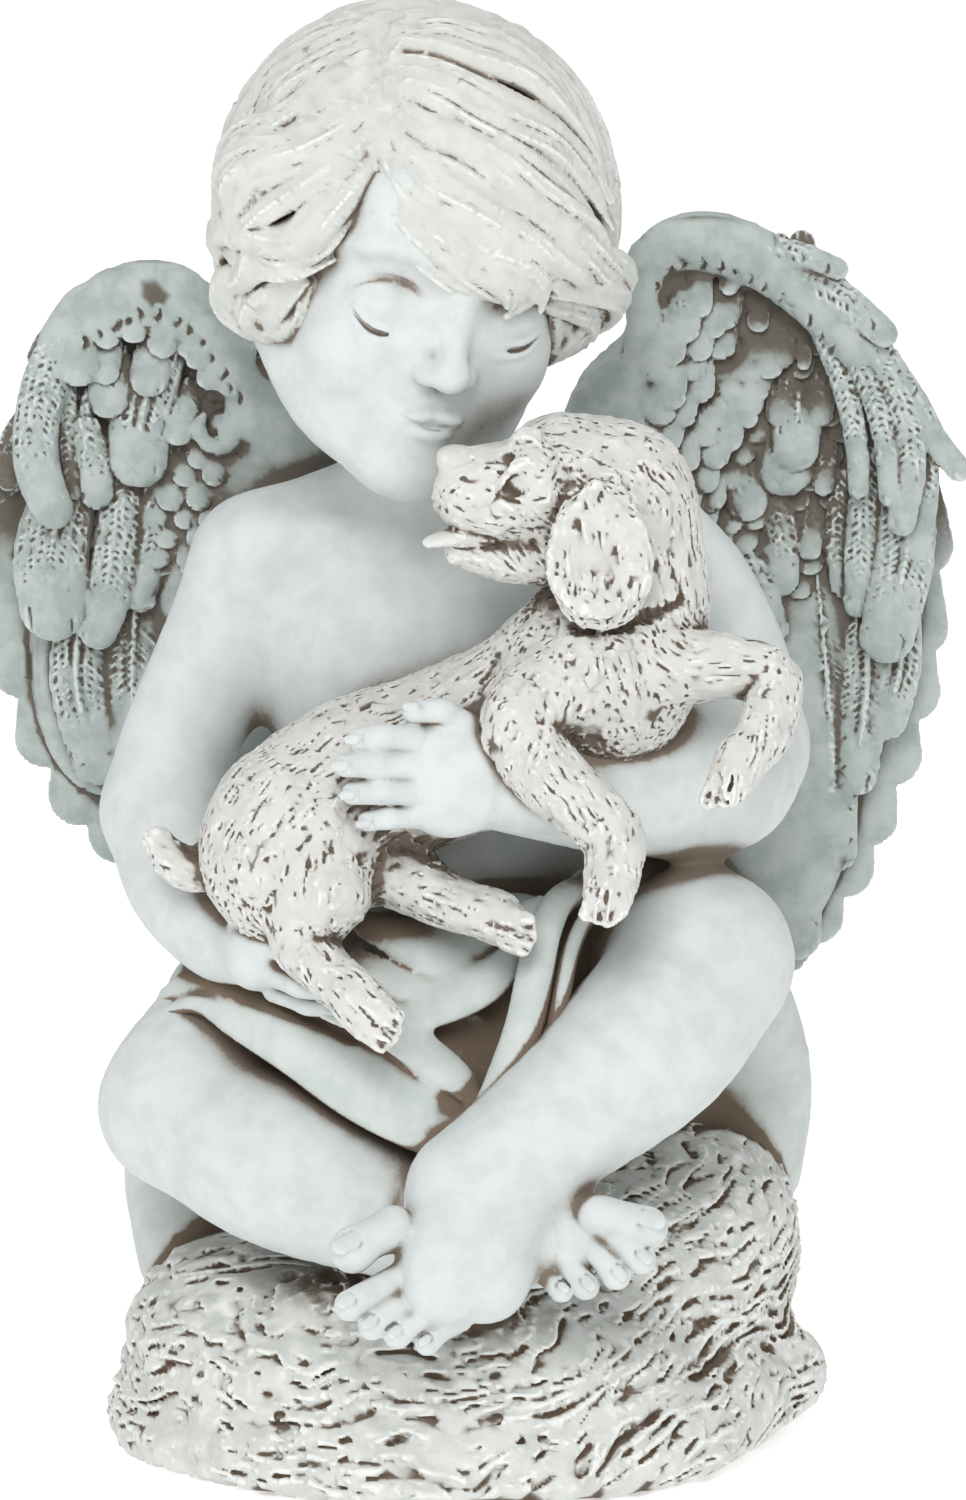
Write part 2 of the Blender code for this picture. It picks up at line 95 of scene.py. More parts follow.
LEFT_LOCKS = (
    ((-79, 61, 5), (-80, 48, 6), (-79, 36, 7), (-74, 24, 8), (-70, 15, 9)),
    ((-60, 52, 5), (-61, 39, 6), (-64, 28, 7), (-68, 18, 9), (-72, 10, 13), (-76, 2, 14), (-73, -5, 11)),
    ((-47, 42, 5), (-49, 32, 6), (-54, 22, 8), (-61, 12, 10), (-68, 5, 13), (-70, -2, 12), (-66, -7, 9)),
    ((-42, 31, 4), (-42, 19, 6), (-45, 8, 7), (-51, -1, 8), (-60, -5, 10), (-68, -4, 11)),
    ((-39, 22, 2), (-43, 10, 4), (-47, -1, 6), (-56, -7, 8), (-66, -8, 12), (-74, -12, 14), (-76, -20, 12)),
)
CURLS = (
    ((-45, -7, 4), (-53, -12, 8), (-63, -14, 11), (-72, -14, 13)),
    ((-62, -18, 8), (-70, -20, 12), (-76, -28, 13), (-75, -36, 12), (-66, -42, 9)),
    ((-56, -16, 6), (-63, -24, 10), (-69, -33, 11), (-66, -41, 8), (-60, -46, 6)),
    ((-52, -17, 5), (-58, -26, 8), (-64, -35, 8), (-62, -44, 5)),
    ((-50, -20, 3), (-52, -30, 5), (-56, -38, 5), (-55, -46, 3)),
    ((30, -3, 7), (43, -4, 10), (56, -8, 12), (66, -16, 12), (62, -24, 9), (52, -29, 6)),
    ((34, -10, 5), (48, -13, 8), (62, -22, 10), (64, -32, 8), (54, -38, 5)),
    ((44, 5, 8), (54, 1, 10), (64, -6, 12), (60, -14, 10)),
    ((40, -14, 5), (48, -24, 6), (50, -36, 5), (46, -46, 4)),
    ((46, -10, 7), (58, -18, 9), (60, -28, 8), (50, -34, 5)),
)

# Locks from the crown to the nape: how many, the first one's bearing and the step between them
BACK_LOCKS = 18
BACK_START = 62
BACK_STEP = 13.6

# Curls at the head's side and nape: bearing, rise, lift, size and the way they turn
RINGLETS = (
    (-68, 8, 12, 12, 1), (-74, -13, 12, 12, -1), (-62, -30, 8.5, 11, 1), (-90, -32, 9, 12, -1),
    (62, -4, 10, 11, -1), (62, -26, 8.5, 11, 1), (88, -34, 8, 11, 1), (118, -38, 7, 12, -1),
    (150, -42, 6, 12, 1), (182, -42, 6, 12, -1), (214, -42, 6, 12, 1), (244, -38, 7, 12, -1),
)

# Feathers in front: a line of places across, up and, in some, forward; then half width, depth, thickness
# and how far the shaft reaches
LEFT_FEATHERS = (
    ([(-92, 214), (-99, 204), (-100.5, 195)], 3.0, 37, 0.4),
    ([(-84, 230), (-91, 226), (-94, 221.5)], 2.4, 36, 0.5),
    ([(-50, 165), (-52, 140), (-50, 116)], 6.5, 36, 0.3, 0.8),
    ([(-62, 165), (-64, 138), (-62, 114)], 6.5, 36, 0.3, 0.8),
    ([(-73, 170), (-74, 148), (-71, 122)], 6.0, 35.5, 0.3, 0.8),
    ([(-84, 172), (-86, 152), (-82, 134)], 6.2, 35, 0.3, 0.8),
    ([(-87, 196), (-91, 180), (-90.5, 168.5, 1.5)], 8.3, 32, 0.30, 0.55),
    ([(-75.5, 200), (-76.6, 184), (-78.6, 171), (-81, 163.5, 1)], 4.9, 31, 0.42),
    ([(-66, 202), (-68, 190), (-70, 178), (-71.8, 170.5)], 4.0, 31.5, 0.42),
    ([(-59, 206), (-60.5, 196), (-61.5, 188)], 3.6, 31, 0.42),
    ([(-86.8, 218), (-87, 206), (-85.8, 193.5)], 2.1, 29.5, 0.6),
    ([(-82.4, 214), (-83.8, 203), (-84.3, 197)], 2.1, 30, 0.6),
    ([(-83, 207), (-81.3, 199), (-80.8, 193.2, 1)], 3.9, 28.6, 0.45),
    ([(-67.4, 222), (-71.2, 209), (-71.8, 200.5, 1.5)], 6.9, 29.5, 0.38, 0.8),
)
RIGHT_FEATHERS = (
    ([(52, 160), (57, 130), (60, 98)], 6.0, 37, 0.3, 0.85),
    ([(64, 170), (68, 130), (70, 95)], 6.2, 36.5, 0.3, 0.85),
    ([(74, 172), (77, 140), (78, 114)], 5.6, 35.5, 0.3, 0.85),
    ([(84, 170), (84.5, 150), (82.5, 131)], 5.4, 34.5, 0.3, 0.85),
    ([(92, 170), (91.5, 155), (89, 143)], 5.0, 34, 0.3, 0.85),
    ([(78.4, 196), (77.6, 182), (78.6, 172)], 2.6, 33, 0.45),
    ([(84, 200), (83, 184), (82.4, 169)], 3.7, 31.5, 0.42),
    ([(93, 200), (92.4, 180), (88.5, 162, 1.5)], 6.6, 31, 0.34, 0.75),
    ([(59, 197), (65.2, 186), (66, 174.2, 1)], 4.2, 33, 0.42),
    ([(52, 188), (59.5, 176), (64.2, 163.6, 1)], 3.9, 32.2, 0.45),
    ([(48, 182), (56, 171), (59, 160.4, 1.5)], 4.1, 31.4, 0.45),
    ([(44, 176), (50.5, 167), (53, 157.5)], 3.4, 31, 0.45),
)

# Covert feathers: place across, lowest point, half width, depth, length and lean
LEFT_COVERTS = (
    (-63.4, 203.2, 3.7, 29.5, 4, 0.25), (-52.4, 203, 3.0, 29, 5, 0.3), (-69.5, 213.8, 4.7, 29.2, 4, 0.3),
    (-78.2, 209.2, 4.8, 29.5, 3, 0.1), (-78.6, 216.4, 3.2, 28.6, 4, 0.1), (-84.4, 216, 4.8, 28.4, 3, 0.1),
    (-56.8, 215.4, 3.0, 28.5, 4, 0.4), (-52.8, 214.6, 2.4, 28.2, 5, 0.6),
    (-59.4, 219.8, 2.8, 28.4, 3, 0.3), (-78.4, 224, 3.2, 28.8, 1, 0.3), (-66.6, 222, 3.6, 28.6, 1, 0.3),
    (-61.2, 222, 2.6, 28.6, 1, 0.4), (-72.6, 225, 3.0, 29, 1, 0.2),
)
RIGHT_COVERTS = (
    (71.9, 177.8, 2.8, 33.6, 8, 0.1), (48.2, 177.6, 2.8, 31.5, 5, -0.1), (47.8, 189.6, 3.4, 31.5, 3, 0.1),
    (44.8, 196.6, 3.0, 31, 3, 0.1), (58.2, 186.4, 5.2, 32.8, 3, -0.1), (66.4, 191.6, 6.7, 33.6, 5, 0.05),
    (68.6, 197.4, 5.6, 32.2, 4, 0.05), (65.4, 206.6, 3.6, 33.4, 5, 0.1), (57.8, 208.4, 4.5, 32.8, 2, 0.1),
    (49.8, 206.2, 2.8, 32.2, 4, 0.2), (45.6, 209.4, 2.3, 31.8, 3, 0.2), (70.2, 219, 1.9, 33.6, 5, 0.1),
    (65.7, 219.4, 3.0, 34, 6, 0.0), (60.4, 227, 2.7, 34, 2, 0.1), (52.2, 221.2, 4.0, 32.8, 1.5, 0.1),
    (53, 227.6, 4.1, 33, 2, 0.1), (47.4, 228.6, 3.2, 32, 2, 0.2), (54, 235, 2.2, 32.4, 1, 0.1),
    (59, 216.4, 3.4, 33.4, 3, 0.1), (44, 219, 2.8, 32, 2, 0.2), (74, 207, 3.0, 33.4, 6, 0.1),
    (74.6, 192, 2.6, 33, 8, 0.1),
)

# How many folds the cloth has behind the hips
BACK_FOLDS = 9

# Where the puppy's coat is smooth, as places and reaches, and which way it runs near a place
SMOOTH_SPOTS = (((-5, -58, 211), 5.5), ((-8, -60, 197.5), 5.5), ((9, -62, 208.6), 3.6))
COAT = (
    ((0, -62, 203), (0.9, 0, -0.3)), ((8, -62, 210), (0.8, -0.1, 0.2)), ((16, -58, 217), (0.9, 0.1, 0.35)),
    ((28, -50, 218), (0.9, 0.2, -0.3)), ((40, -48, 208), (0.4, 0.3, -0.9)),
    ((42, -50, 195), (0.1, 0.2, -1)), ((14, -60, 198), (0.6, -0.2, -0.7)), ((25, -69, 198), (0.1, 0, -1)),
    ((25, -69, 188), (-0.2, 0, -1)), ((16, -62, 184), (0.2, -0.1, -1)), ((32, -60, 184), (0.1, 0, -1)),
    ((20, -66, 173), (-0.2, -0.1, -1)), ((30, -64, 168), (0.3, -0.1, -0.9)),
    ((40, -58, 168), (0.7, 0, -0.6)), ((8, -60, 160), (-0.5, 0, -0.85)),
    ((-6, -56, 158), (-0.75, 0, -0.65)), ((-18, -58, 150), (-0.8, 0, -0.6)),
    ((-28, -60, 148), (-0.7, -0.1, -0.7)), ((-40, -62, 140), (-0.6, -0.2, -0.8)),
    ((-36, -66, 126), (-0.1, -0.2, -1)), ((-50, -52, 132), (-0.5, 0, -0.9)),
    ((-14, -60, 136), (-0.8, 0, -0.4)), ((-34, -64, 112), (0.3, -0.3, -0.9)),
    ((-24, -74, 103), (0.7, -0.3, -0.5)), ((-6, -60, 121), (0.9, -0.2, -0.2)),
    ((10, -70, 160), (-0.3, -0.2, -1)), ((18, -74, 146), (0.5, -0.2, -0.8)),
    ((27, -80, 133), (0, -0.3, -1)), ((50, -60, 169), (0.9, 0, 0)), ((60, -62, 163), (-0.2, -0.4, -0.9)),
    ((-58, -46, 125), (-0.9, 0, 0.2)), ((-10, -30, 156), (-0.8, 0, -0.4)),
    ((34, -32, 180), (0.1, 0.3, -1)),
)


def rotation(turn):
    """The matrix that turns by degrees about X, then Y, then Z."""
    a, b, c = np.radians(turn)
    about_x = np.array([[1, 0, 0], [0, np.cos(a), -np.sin(a)], [0, np.sin(a), np.cos(a)]])
    about_y = np.array([[np.cos(b), 0, np.sin(b)], [0, 1, 0], [-np.sin(b), 0, np.cos(b)]])
    about_z = np.array([[np.cos(c), -np.sin(c), 0], [np.sin(c), np.cos(c), 0], [0, 0, 1]])
    return about_z @ about_y @ about_x


HEAD = rotation(HEAD_TURN)


def on_head(point):
    """A point given in the head's own frame: X to its left ear, -Y its face, Z its crown."""
    return HEAD @ np.asarray(point, float) + HEAD_PLACE


def on_scalp(bearing, rise, lift):
    """A point over the scalp: bearing from the face towards the left ear, rise above the ears."""
    around, up = math.radians(bearing), math.radians(rise)
    out = np.array((math.sin(around) * math.cos(up), -math.cos(around) * math.cos(up), math.sin(up)))
    return on_head(SCALP_CENTRE + out * (SCALP_RADII + lift))


def between(first, last, share):
    """The point at a share of the way from the first to the last."""
    return np.asarray(first, float) * (1 - share) + np.asarray(last, float) * share


def smooth_line(rows, steps):
    """A smooth curve through rows of numbers, each span in that many steps."""
    rows = np.asarray(rows, float)
    ends = np.vstack([2 * rows[0] - rows[1], rows, 2 * rows[-1] - rows[-2]])
    line = []
    for a, b, c, d in zip(ends, ends[1:], ends[2:], ends[3:]):
        for t in np.arange(steps) / steps:
            line.append(0.5 * (2 * b + (c - a) * t + (2 * a - 5 * b + 4 * c - d) * t * t
                               + (3 * b - a - 3 * c + d) * t ** 3))
    line.append(rows[-1])
    return np.array(line)


def soft_min(a, b, blend):
    """The lower of two distances, with a fillet of about the blend's size."""
    if blend <= 0:
        return np.minimum(a, b)
    near = np.maximum(blend - np.abs(a - b), 0) / blend
    return np.minimum(a, b) - near * near * blend * 0.25


def smoothstep(low, high, value):
    """0 on low's side, 1 on high's side and smooth between."""
    t = np.clip((value - low) / (high - low), 0, 1)
    return t * t * (3 - 2 * t)


class Clay:
    """A block of space that holds the distance to the surface at each grid point."""

    def __init__(self, name, low, high, step):
        self.name = name
        self.step = step * COARSE
        self.low = np.array(low, float)
        size = np.ceil((np.array(high, float) - self.low) / self.step).astype(int) + 1
        self.field = np.full(size, FAR, np.float32)
        self.place = np.zeros(3)
        self.turn = np.eye(3)

    def local(self, place, turn):
        """From here on, forms are given in a frame of their own."""
        self.place = np.asarray(place, float)
        self.turn = np.asarray(turn, float)

    def world(self):
        """From here on, forms are given in the statue's own frame."""
        self.local((0, 0, 0), np.eye(3))

    def window(self, low, high, inside=None):
        """The grid points in a box, as slices and as three broadcasting rows of coordinates."""
        first = np.clip(np.floor((np.asarray(low) - self.low) / self.step).astype(int), 0, None)
        last = np.minimum(np.ceil((np.asarray(high) - self.low) / self.step).astype(int) + 1,
                          self.field.shape)
        if inside is not None:
            first = np.maximum(first, [piece.start for piece in inside])
            last = np.minimum(last, [piece.stop for piece in inside])
        if (last <= first).any():
            return None, None
        part = tuple(slice(a, b) for a, b in zip(first, last))
        x, y, z = [(self.low[k] + self.step * np.arange(first[k], last[k])).astype(np.float32)
                   for k in range(3)]
        return part, (x[:, None, None], y[None, :, None], z[None, None, :])

    def merge(self, part, new, blend, cut):
        """Joins a form to the clay, or takes it away."""
        old = self.field[part]
        if cut:
            self.field[part] = -soft_min(-old, new, blend)
        else:
            self.field[part] = soft_min(old, new, blend)

    def mass(self, centre, radii, turn=(0, 0, 0), blend=3.0, cut=False):
        """A ball stretched along its own axes."""
        centre = self.turn @ np.asarray(centre, float) + self.place
        radii = np.asarray(radii, float)
        axes = self.turn @ rotation(turn)
        reach = np.sqrt(((axes * radii) ** 2).sum(1)) + blend + 2 * self.step
        part, xyz = self.window(centre - reach, centre + reach)
        if part is None:
            return
        away = [xyz[k] - np.float32(centre[k]) for k in range(3)]
        near = slope = 0
        for j in range(3):
            own = sum(away[k] * np.float32(axes[k, j]) for k in range(3)) / np.float32(radii[j])
            near = near + own * own
            slope = slope + (own / np.float32(radii[j])) ** 2
        near = np.sqrt(near)
        self.merge(part, near * (near - 1) / (np.sqrt(slope) + np.float32(1e-6)), blend, cut)

    def limb(self, points, radii, blend=3.0, cut=False, steps=4, flat=None, facing=None, carve=None):
        """A swept tube, round or flattened across its facing.

        carve(along, across, out, radius) gives millimetres to take off, in the sweep's own frame.
        """
        points = np.asarray(points, float) @ self.turn.T + self.place
        radii = np.broadcast_to(np.asarray(radii, float), (len(points),))
        rows = np.column_stack([points, radii])
        if flat is not None:
            flats = np.broadcast_to(np.asarray(flat, float), (len(points),))
            facings = np.broadcast_to(np.asarray(facing, float), (len(points), 3)) @ self.turn.T
            rows = np.column_stack([rows, flats, facings])
        rows = smooth_line(rows, steps)
        line, radii = rows[:, :3], np.maximum(rows[:, 3], 0.05)
        margin = blend + 2.5 * self.step
        around = radii[:, None]
        part, _ = self.window((line - around).min(0) - margin, (line + around).max(0) + margin)
        if part is None:
            return
        form = np.full([piece.stop - piece.start for piece in part], FAR, np.float32)
        run = 0.0
        for index in range(len(line) - 1):
            run += self.stretch(form, part, rows, radii, index, run, margin, flat is not None, carve)
        self.merge(part, form, blend, cut)

    def stretch(self, form, part, rows, radii, index, run, margin, flattened, carve):
        """One straight stretch of a tube, written into form. Returns its length."""
        start, end = rows[index, :3], rows[index + 1, :3]
        ahead = end - start
        length = float(np.sqrt(ahead @ ahead))
        if length < 1e-6:
            return 0.0
        reach = max(radii[index], radii[index + 1]) + margin
        sub, xyz = self.window(np.minimum(start, end) - reach, np.maximum(start, end) + reach, part)
        if sub is None:
            return length
        away = [xyz[k] - np.float32(start[k]) for k in range(3)]
        share = sum(away[k] * np.float32(ahead[k]) for k in range(3)) / np.float32(length * length)
        share = np.clip(share, 0, 1)
        off = [away[k] - share * np.float32(ahead[k]) for k in range(3)]
        radius = np.float32(radii[index]) + share * np.float32(radii[index + 1] - radii[index])
        if flattened:
            out = rows[index, 5:8] - (rows[index, 5:8] @ ahead) * ahead / length ** 2
            out = out / (np.linalg.norm(out) + 1e-9)
            wide = np.cross(ahead / length, out)
            rise = sum(off[k] * np.float32(out[k]) for k in range(3))
            side = sum(off[k] * np.float32(wide[k]) for k in range(3))
            past = sum(off[k] * np.float32(ahead[k] / length) for k in range(3))
            thick = radius * np.float32(rows[index, 4])
            near = np.sqrt((side / radius) ** 2 + (rise / thick) ** 2 + (past / radius) ** 2)
            slope = np.sqrt((side / radius ** 2) ** 2 + (rise / thick ** 2) ** 2 + (past / radius ** 2) ** 2)
            distance = near * (near - 1) / (slope + np.float32(1e-6))
            if carve is not None:
                distance = distance + carve(run + share * np.float32(length), side, rise, radius)
        else:
            distance = np.sqrt(off[0] ** 2 + off[1] ** 2 + off[2] ** 2) - radius
        here = tuple(slice(a.start - b.start, a.stop - b.start) for a, b in zip(sub, part))
        np.minimum(form[here], distance, out=form[here])
        return length

    def front(self, x, z):
        """How far forward the clay reaches at x and z, or nothing where there is none."""
        i, k = int(round((x - self.low[0]) / self.step)), int(round((z - self.low[2]) / self.step))
        inside = np.nonzero(self.field[i, :, k] < 0)[0]
        return self.low[1] + self.step * inside[0] if len(inside) else None

    def distance(self, points):
        """The distance to the surface at any points."""
        return trilinear(self.field, (points - self.low) / self.step)

    def slope(self, points):
        """The outward direction at any points near the surface."""
        reach = 0.6 * self.step
        away = np.empty_like(points)
        for axis in range(3):
            shift = np.zeros(3)
            shift[axis] = reach
            ahead, behind = (np.clip(self.distance(points + sign * shift), -3, 3) for sign in (1, -1))
            away[:, axis] = ahead - behind
        return away / (np.linalg.norm(away, axis=1)[:, None] + 1e-9)

    def hollow(self, points, normals, reach):
        """How hollow the surface is within a reach: above 0 in a dip, below 0 on a ridge."""
        side = np.cross(normals, (0.31, 0.53, 0.79))
        side /= np.linalg.norm(side, axis=1)[:, None] + 1e-9
        other = np.cross(normals, side)
        total = 0
        for turn in np.arange(6) * math.pi / 3:
            ring = points + reach * (math.cos(turn) * side + math.sin(turn) * other)
            total = total - np.clip(self.distance(ring), -reach, reach)
        return total / (6 * reach)

    def roughen(self, rough, depth):
        """Moves the surface out by rough(points), worked out within a depth of the surface."""
        near = np.nonzero(np.abs(self.field) < depth)
        points = self.low + self.step * np.column_stack(near)
        self.field[near] -= rough(points).astype(np.float32)

    def level(self):
        """Cuts the clay off flat at the ground."""
        part, (_, _, z) = self.window((-200, -200, -20), (200, 200, 2 * SHELL))
        self.field[part] = np.maximum(self.field[part], -z)

    def skin(self, adaptivity):
        """Points in millimetres, triangles and quads of the surface."""
        band = np.float32(SHELL * self.step)
        grid = openvdb.FloatGrid(float(band))
        grid.copyFromArray(np.clip(self.field, -band, band))
        points, triangles, quads = grid.convertToPolygons(0.0, adaptivity)
        return np.asarray(points, float) * self.step + self.low, triangles.astype(int), quads.astype(int)


class Noise:
    """Smooth value noise between 0 and 1 on a repeating lattice."""

    SIZE = 32

    def __init__(self, seed):
        self.table = np.random.default_rng(seed).random((self.SIZE,) * 3).astype(np.float32)

    def __call__(self, points):
        """The noise at points counted in cells of the lattice."""
        base = np.floor(points).astype(int)
        t = points - base
        t = t * t * (3 - 2 * t)
        total = 0
        for dx in (0, 1):
            for dy in (0, 1):
                for dz in (0, 1):
                    weight = (np.where(dx, t[:, 0], 1 - t[:, 0]) * np.where(dy, t[:, 1], 1 - t[:, 1])
                              * np.where(dz, t[:, 2], 1 - t[:, 2]))
                    i, j, k = ((base + (dx, dy, dz)) % self.SIZE).T
                    total = total + weight * self.table[i, j, k]
        return total


def head_and_neck(clay):
    """Skull, a calm child's face that looks down, and the neck."""
    clay.limb([(-5, 8, 180), (-8, 2, 196), (-11, -3, 212), (-12, -4, 230)], [21, 15, 14, 17], blend=9)
    clay.local(HEAD_PLACE, HEAD)
    clay.mass((0, 5, 9), (33, 38, 36), blend=8)
    clay.mass((0, -9, -3), (27, 26.5, 30), blend=8)
    clay.mass((0, -24, -27), (14, 12, 12), blend=8)
    clay.mass((0, -30.5, -38.5), (6.5, 5, 6), blend=6)
    clay.mass((0, -30.5, 2), (8, 5.5, 8), blend=6)
    clay.mass((0, -27, 14), (22, 10.5, 15), blend=8)
    for side in (-1, 1):
        jaw = [(24 * side, 0, -19), (16 * side, -16, -31), (5 * side, -26, -38)]
        clay.limb(jaw, [9, 9, 7.5], blend=8)
        clay.mass((14.5 * side, -22.5, -16), (11, 10.8, 12), blend=8)
        clay.mass((30.5 * side, 6, -8), (4, 7, 11), blend=2)
    eyes(clay)
    nose(clay)
    mouth(clay)
    clay.world()


def eyes(clay):
    """Lowered lids over round eyes, with a faint crease above and a soft brow."""
    for side in (-1, 1):
        clay.mass((14 * side, -38.6, -1.0), (8.5, 5, 5.6), (0, 0, 16 * side), blend=8, cut=True)
        clay.mass((13 * side, -27.7, -4.6), (8.0, 6.8, 5.8), (0, 0, 12 * side), blend=2.0)
        trace(clay, [(5 * side, 6.5), (12 * side, 9.4), (19 * side, 8.6), (25 * side, 4.5)],
              [0.8, 1.4, 1.4, 0.6], 0.4, 5)
        trace(clay, [(6.8 * side, -1.6), (9.6 * side, 0.7), (13.6 * side, 1.5), (17.4 * side, 0.5),
                     (20.4 * side, -1.8)], [0.15, 0.3, 0.36, 0.3, 0.15], -0.1, 1.0, True)
        lash = [(6.0, -6.8), (9.0, -8.3), (13.0, -8.9), (16.8, -8.2), (20.0, -5.8)]
        trace(clay, [(x * side, z) for x, z in lash], [0.3, 0.6, 0.7, 0.65, 0.35], 0.0, 0.9)
        trace(clay, [(x * side, z - 1.15) for x, z in lash], [0.35, 0.7, 0.8, 0.75, 0.4], 0.1, 0.25, True)
        trace(clay, [(x * side, z - 2.5) for x, z in lash], [0.2, 0.45, 0.5, 0.45, 0.2], 0.1, 1.4)


def trace(clay, places, radii, sink, blend, cut=False):
    """A bead or groove along the face through x, z places in the local frame, sunk by so many millimetres."""
    line = []
    depths = np.linspace(-60, 0, 601)
    for x, z in smooth_line(places, 3):
        across, up = np.full_like(depths, x), np.full_like(depths, z)
        rows = np.column_stack([across, depths, up]) @ clay.turn.T + clay.place
        inside = np.nonzero(clay.distance(rows) < 0)[0]
        line.append((x, depths[inside[0]] + sink, z))
    shares = np.linspace(0, len(radii) - 1, len(line))
    clay.limb(line, np.interp(shares, np.arange(len(radii)), radii), blend=blend, cut=cut, steps=2)


def nose(clay):
    """A short, slightly turned-up nose."""
    clay.limb([(0, -34.2, 4), (0, -36.6, -4), (0, -39.2, -11), (0, -40.2, -14.2)],
              [2.2, 2.4, 2.8, 3.3], blend=5)
    clay.mass((0, -40.4, -14.6), (3.4, 3.1, 2.9), blend=3)
    for side in (-1, 1):
        clay.mass((5.5 * side, -31.0, -10), (4.0, 4, 7), blend=6)
        clay.mass((4.0 * side, -37.0, -15.8), (2.5, 3.0, 2.3), blend=2.4)
        clay.limb([(1.9 * side, -39.6, -18.0), (2.6 * side, -37.4, -18.1)], [0.6, 0.8], blend=0.9, cut=True)


def mouth(clay):
    """Closed, softly modelled lips over a small round chin."""
    clay.mass((0, -31.0, -26.5), (9.0, 6.0, 7), blend=5)
    for side in (-1, 1):
        clay.mass((2.6 * side, -36.9, -24.8), (3.8, 2.3, 1.7), (0, 14 * side, 0), blend=1.2)
    clay.mass((0, -36.4, -28.6), (4.6, 2.9, 2.0), blend=1.2)
    clay.limb([(0, -39.0, -19.8), (0, -38.6, -22.4)], [0.8, 0.9], blend=1.8, cut=True)
    trace(clay, [(-6.6, -25.9), (-3.2, -26.5), (0, -26.9), (3.2, -26.5), (6.6, -25.9)],
          [0.3, 0.5, 0.55, 0.5, 0.3], 0.0, 0.5, True)


def torso(clay):
    """Hips, belly, chest and shoulders of a small child."""
    clay.mass((-2, 12, 84), (43, 31, 26), blend=10)
    clay.mass((-4, 2, 116), (36, 29, 34), blend=12)
    clay.mass((-7, 4, 155), (37, 25, 34), (8, -4, 0), blend=12)
    clay.mass((-22, -2, 166), (20, 18, 18), (0, 0, -20), blend=12)
    clay.mass((8, -2, 168), (20, 18, 18), (0, 0, 20), blend=12)
    clay.limb([(-44, 6, 181), (-24, 7, 189), (-4, 8, 193), (31, 7, 187)], [14, 14.5, 15, 14], blend=10)
    clay.limb([(-45, -4, 188), (-30, -8, 190), (-16, -9, 187)], [3.5, 3, 3], blend=8)
    clay.limb([(-5, 34, 180), (-5, 34, 150), (-4, 36, 110)], [2.5, 3, 3], blend=6, cut=True)
    for side in (-1, 1):
        clay.mass((-5 + 18 * side, 22, 168), (14, 8, 20), (0, 12 * side, 0), blend=9)


def fingers(clay, rows):
    """Fingers with two joints and a nail each: rows of root, knuckle, tip, radius and the nail's side."""
    for root, middle, tip, radius, nail in rows:
        root, middle, tip = (np.asarray(p, float) for p in (root, middle, tip))
        clay.limb([root, between(root, middle, 0.6), middle, between(middle, tip, 0.55), tip],
                  [radius * 1.05, radius * 0.96, radius * 1.02, radius * 0.92, radius * 0.86], blend=0.9)
        ahead = (tip - middle) / np.linalg.norm(tip - middle)
        out = np.asarray(nail, float) - ahead * (ahead @ np.asarray(nail, float))
        out = out / np.linalg.norm(out)
        across = np.cross(ahead, out)
        bed = tip + ahead * radius * 0.1 + out * radius * 0.80
        wide, long = across * radius, ahead * radius
        rim = [bed + wide * 0.52 + long * 0.5, bed + wide * 0.56 - long * 0.4, bed - long * 0.8,
               bed - wide * 0.56 - long * 0.4, bed - wide * 0.52 + long * 0.5]
        clay.limb(rim, 0.45, blend=0.3, cut=True)
        plate = [bed - long * 0.25, bed + long * 0.35]
        clay.limb(plate, radius * 0.4, blend=0.2, flat=0.5, facing=out)


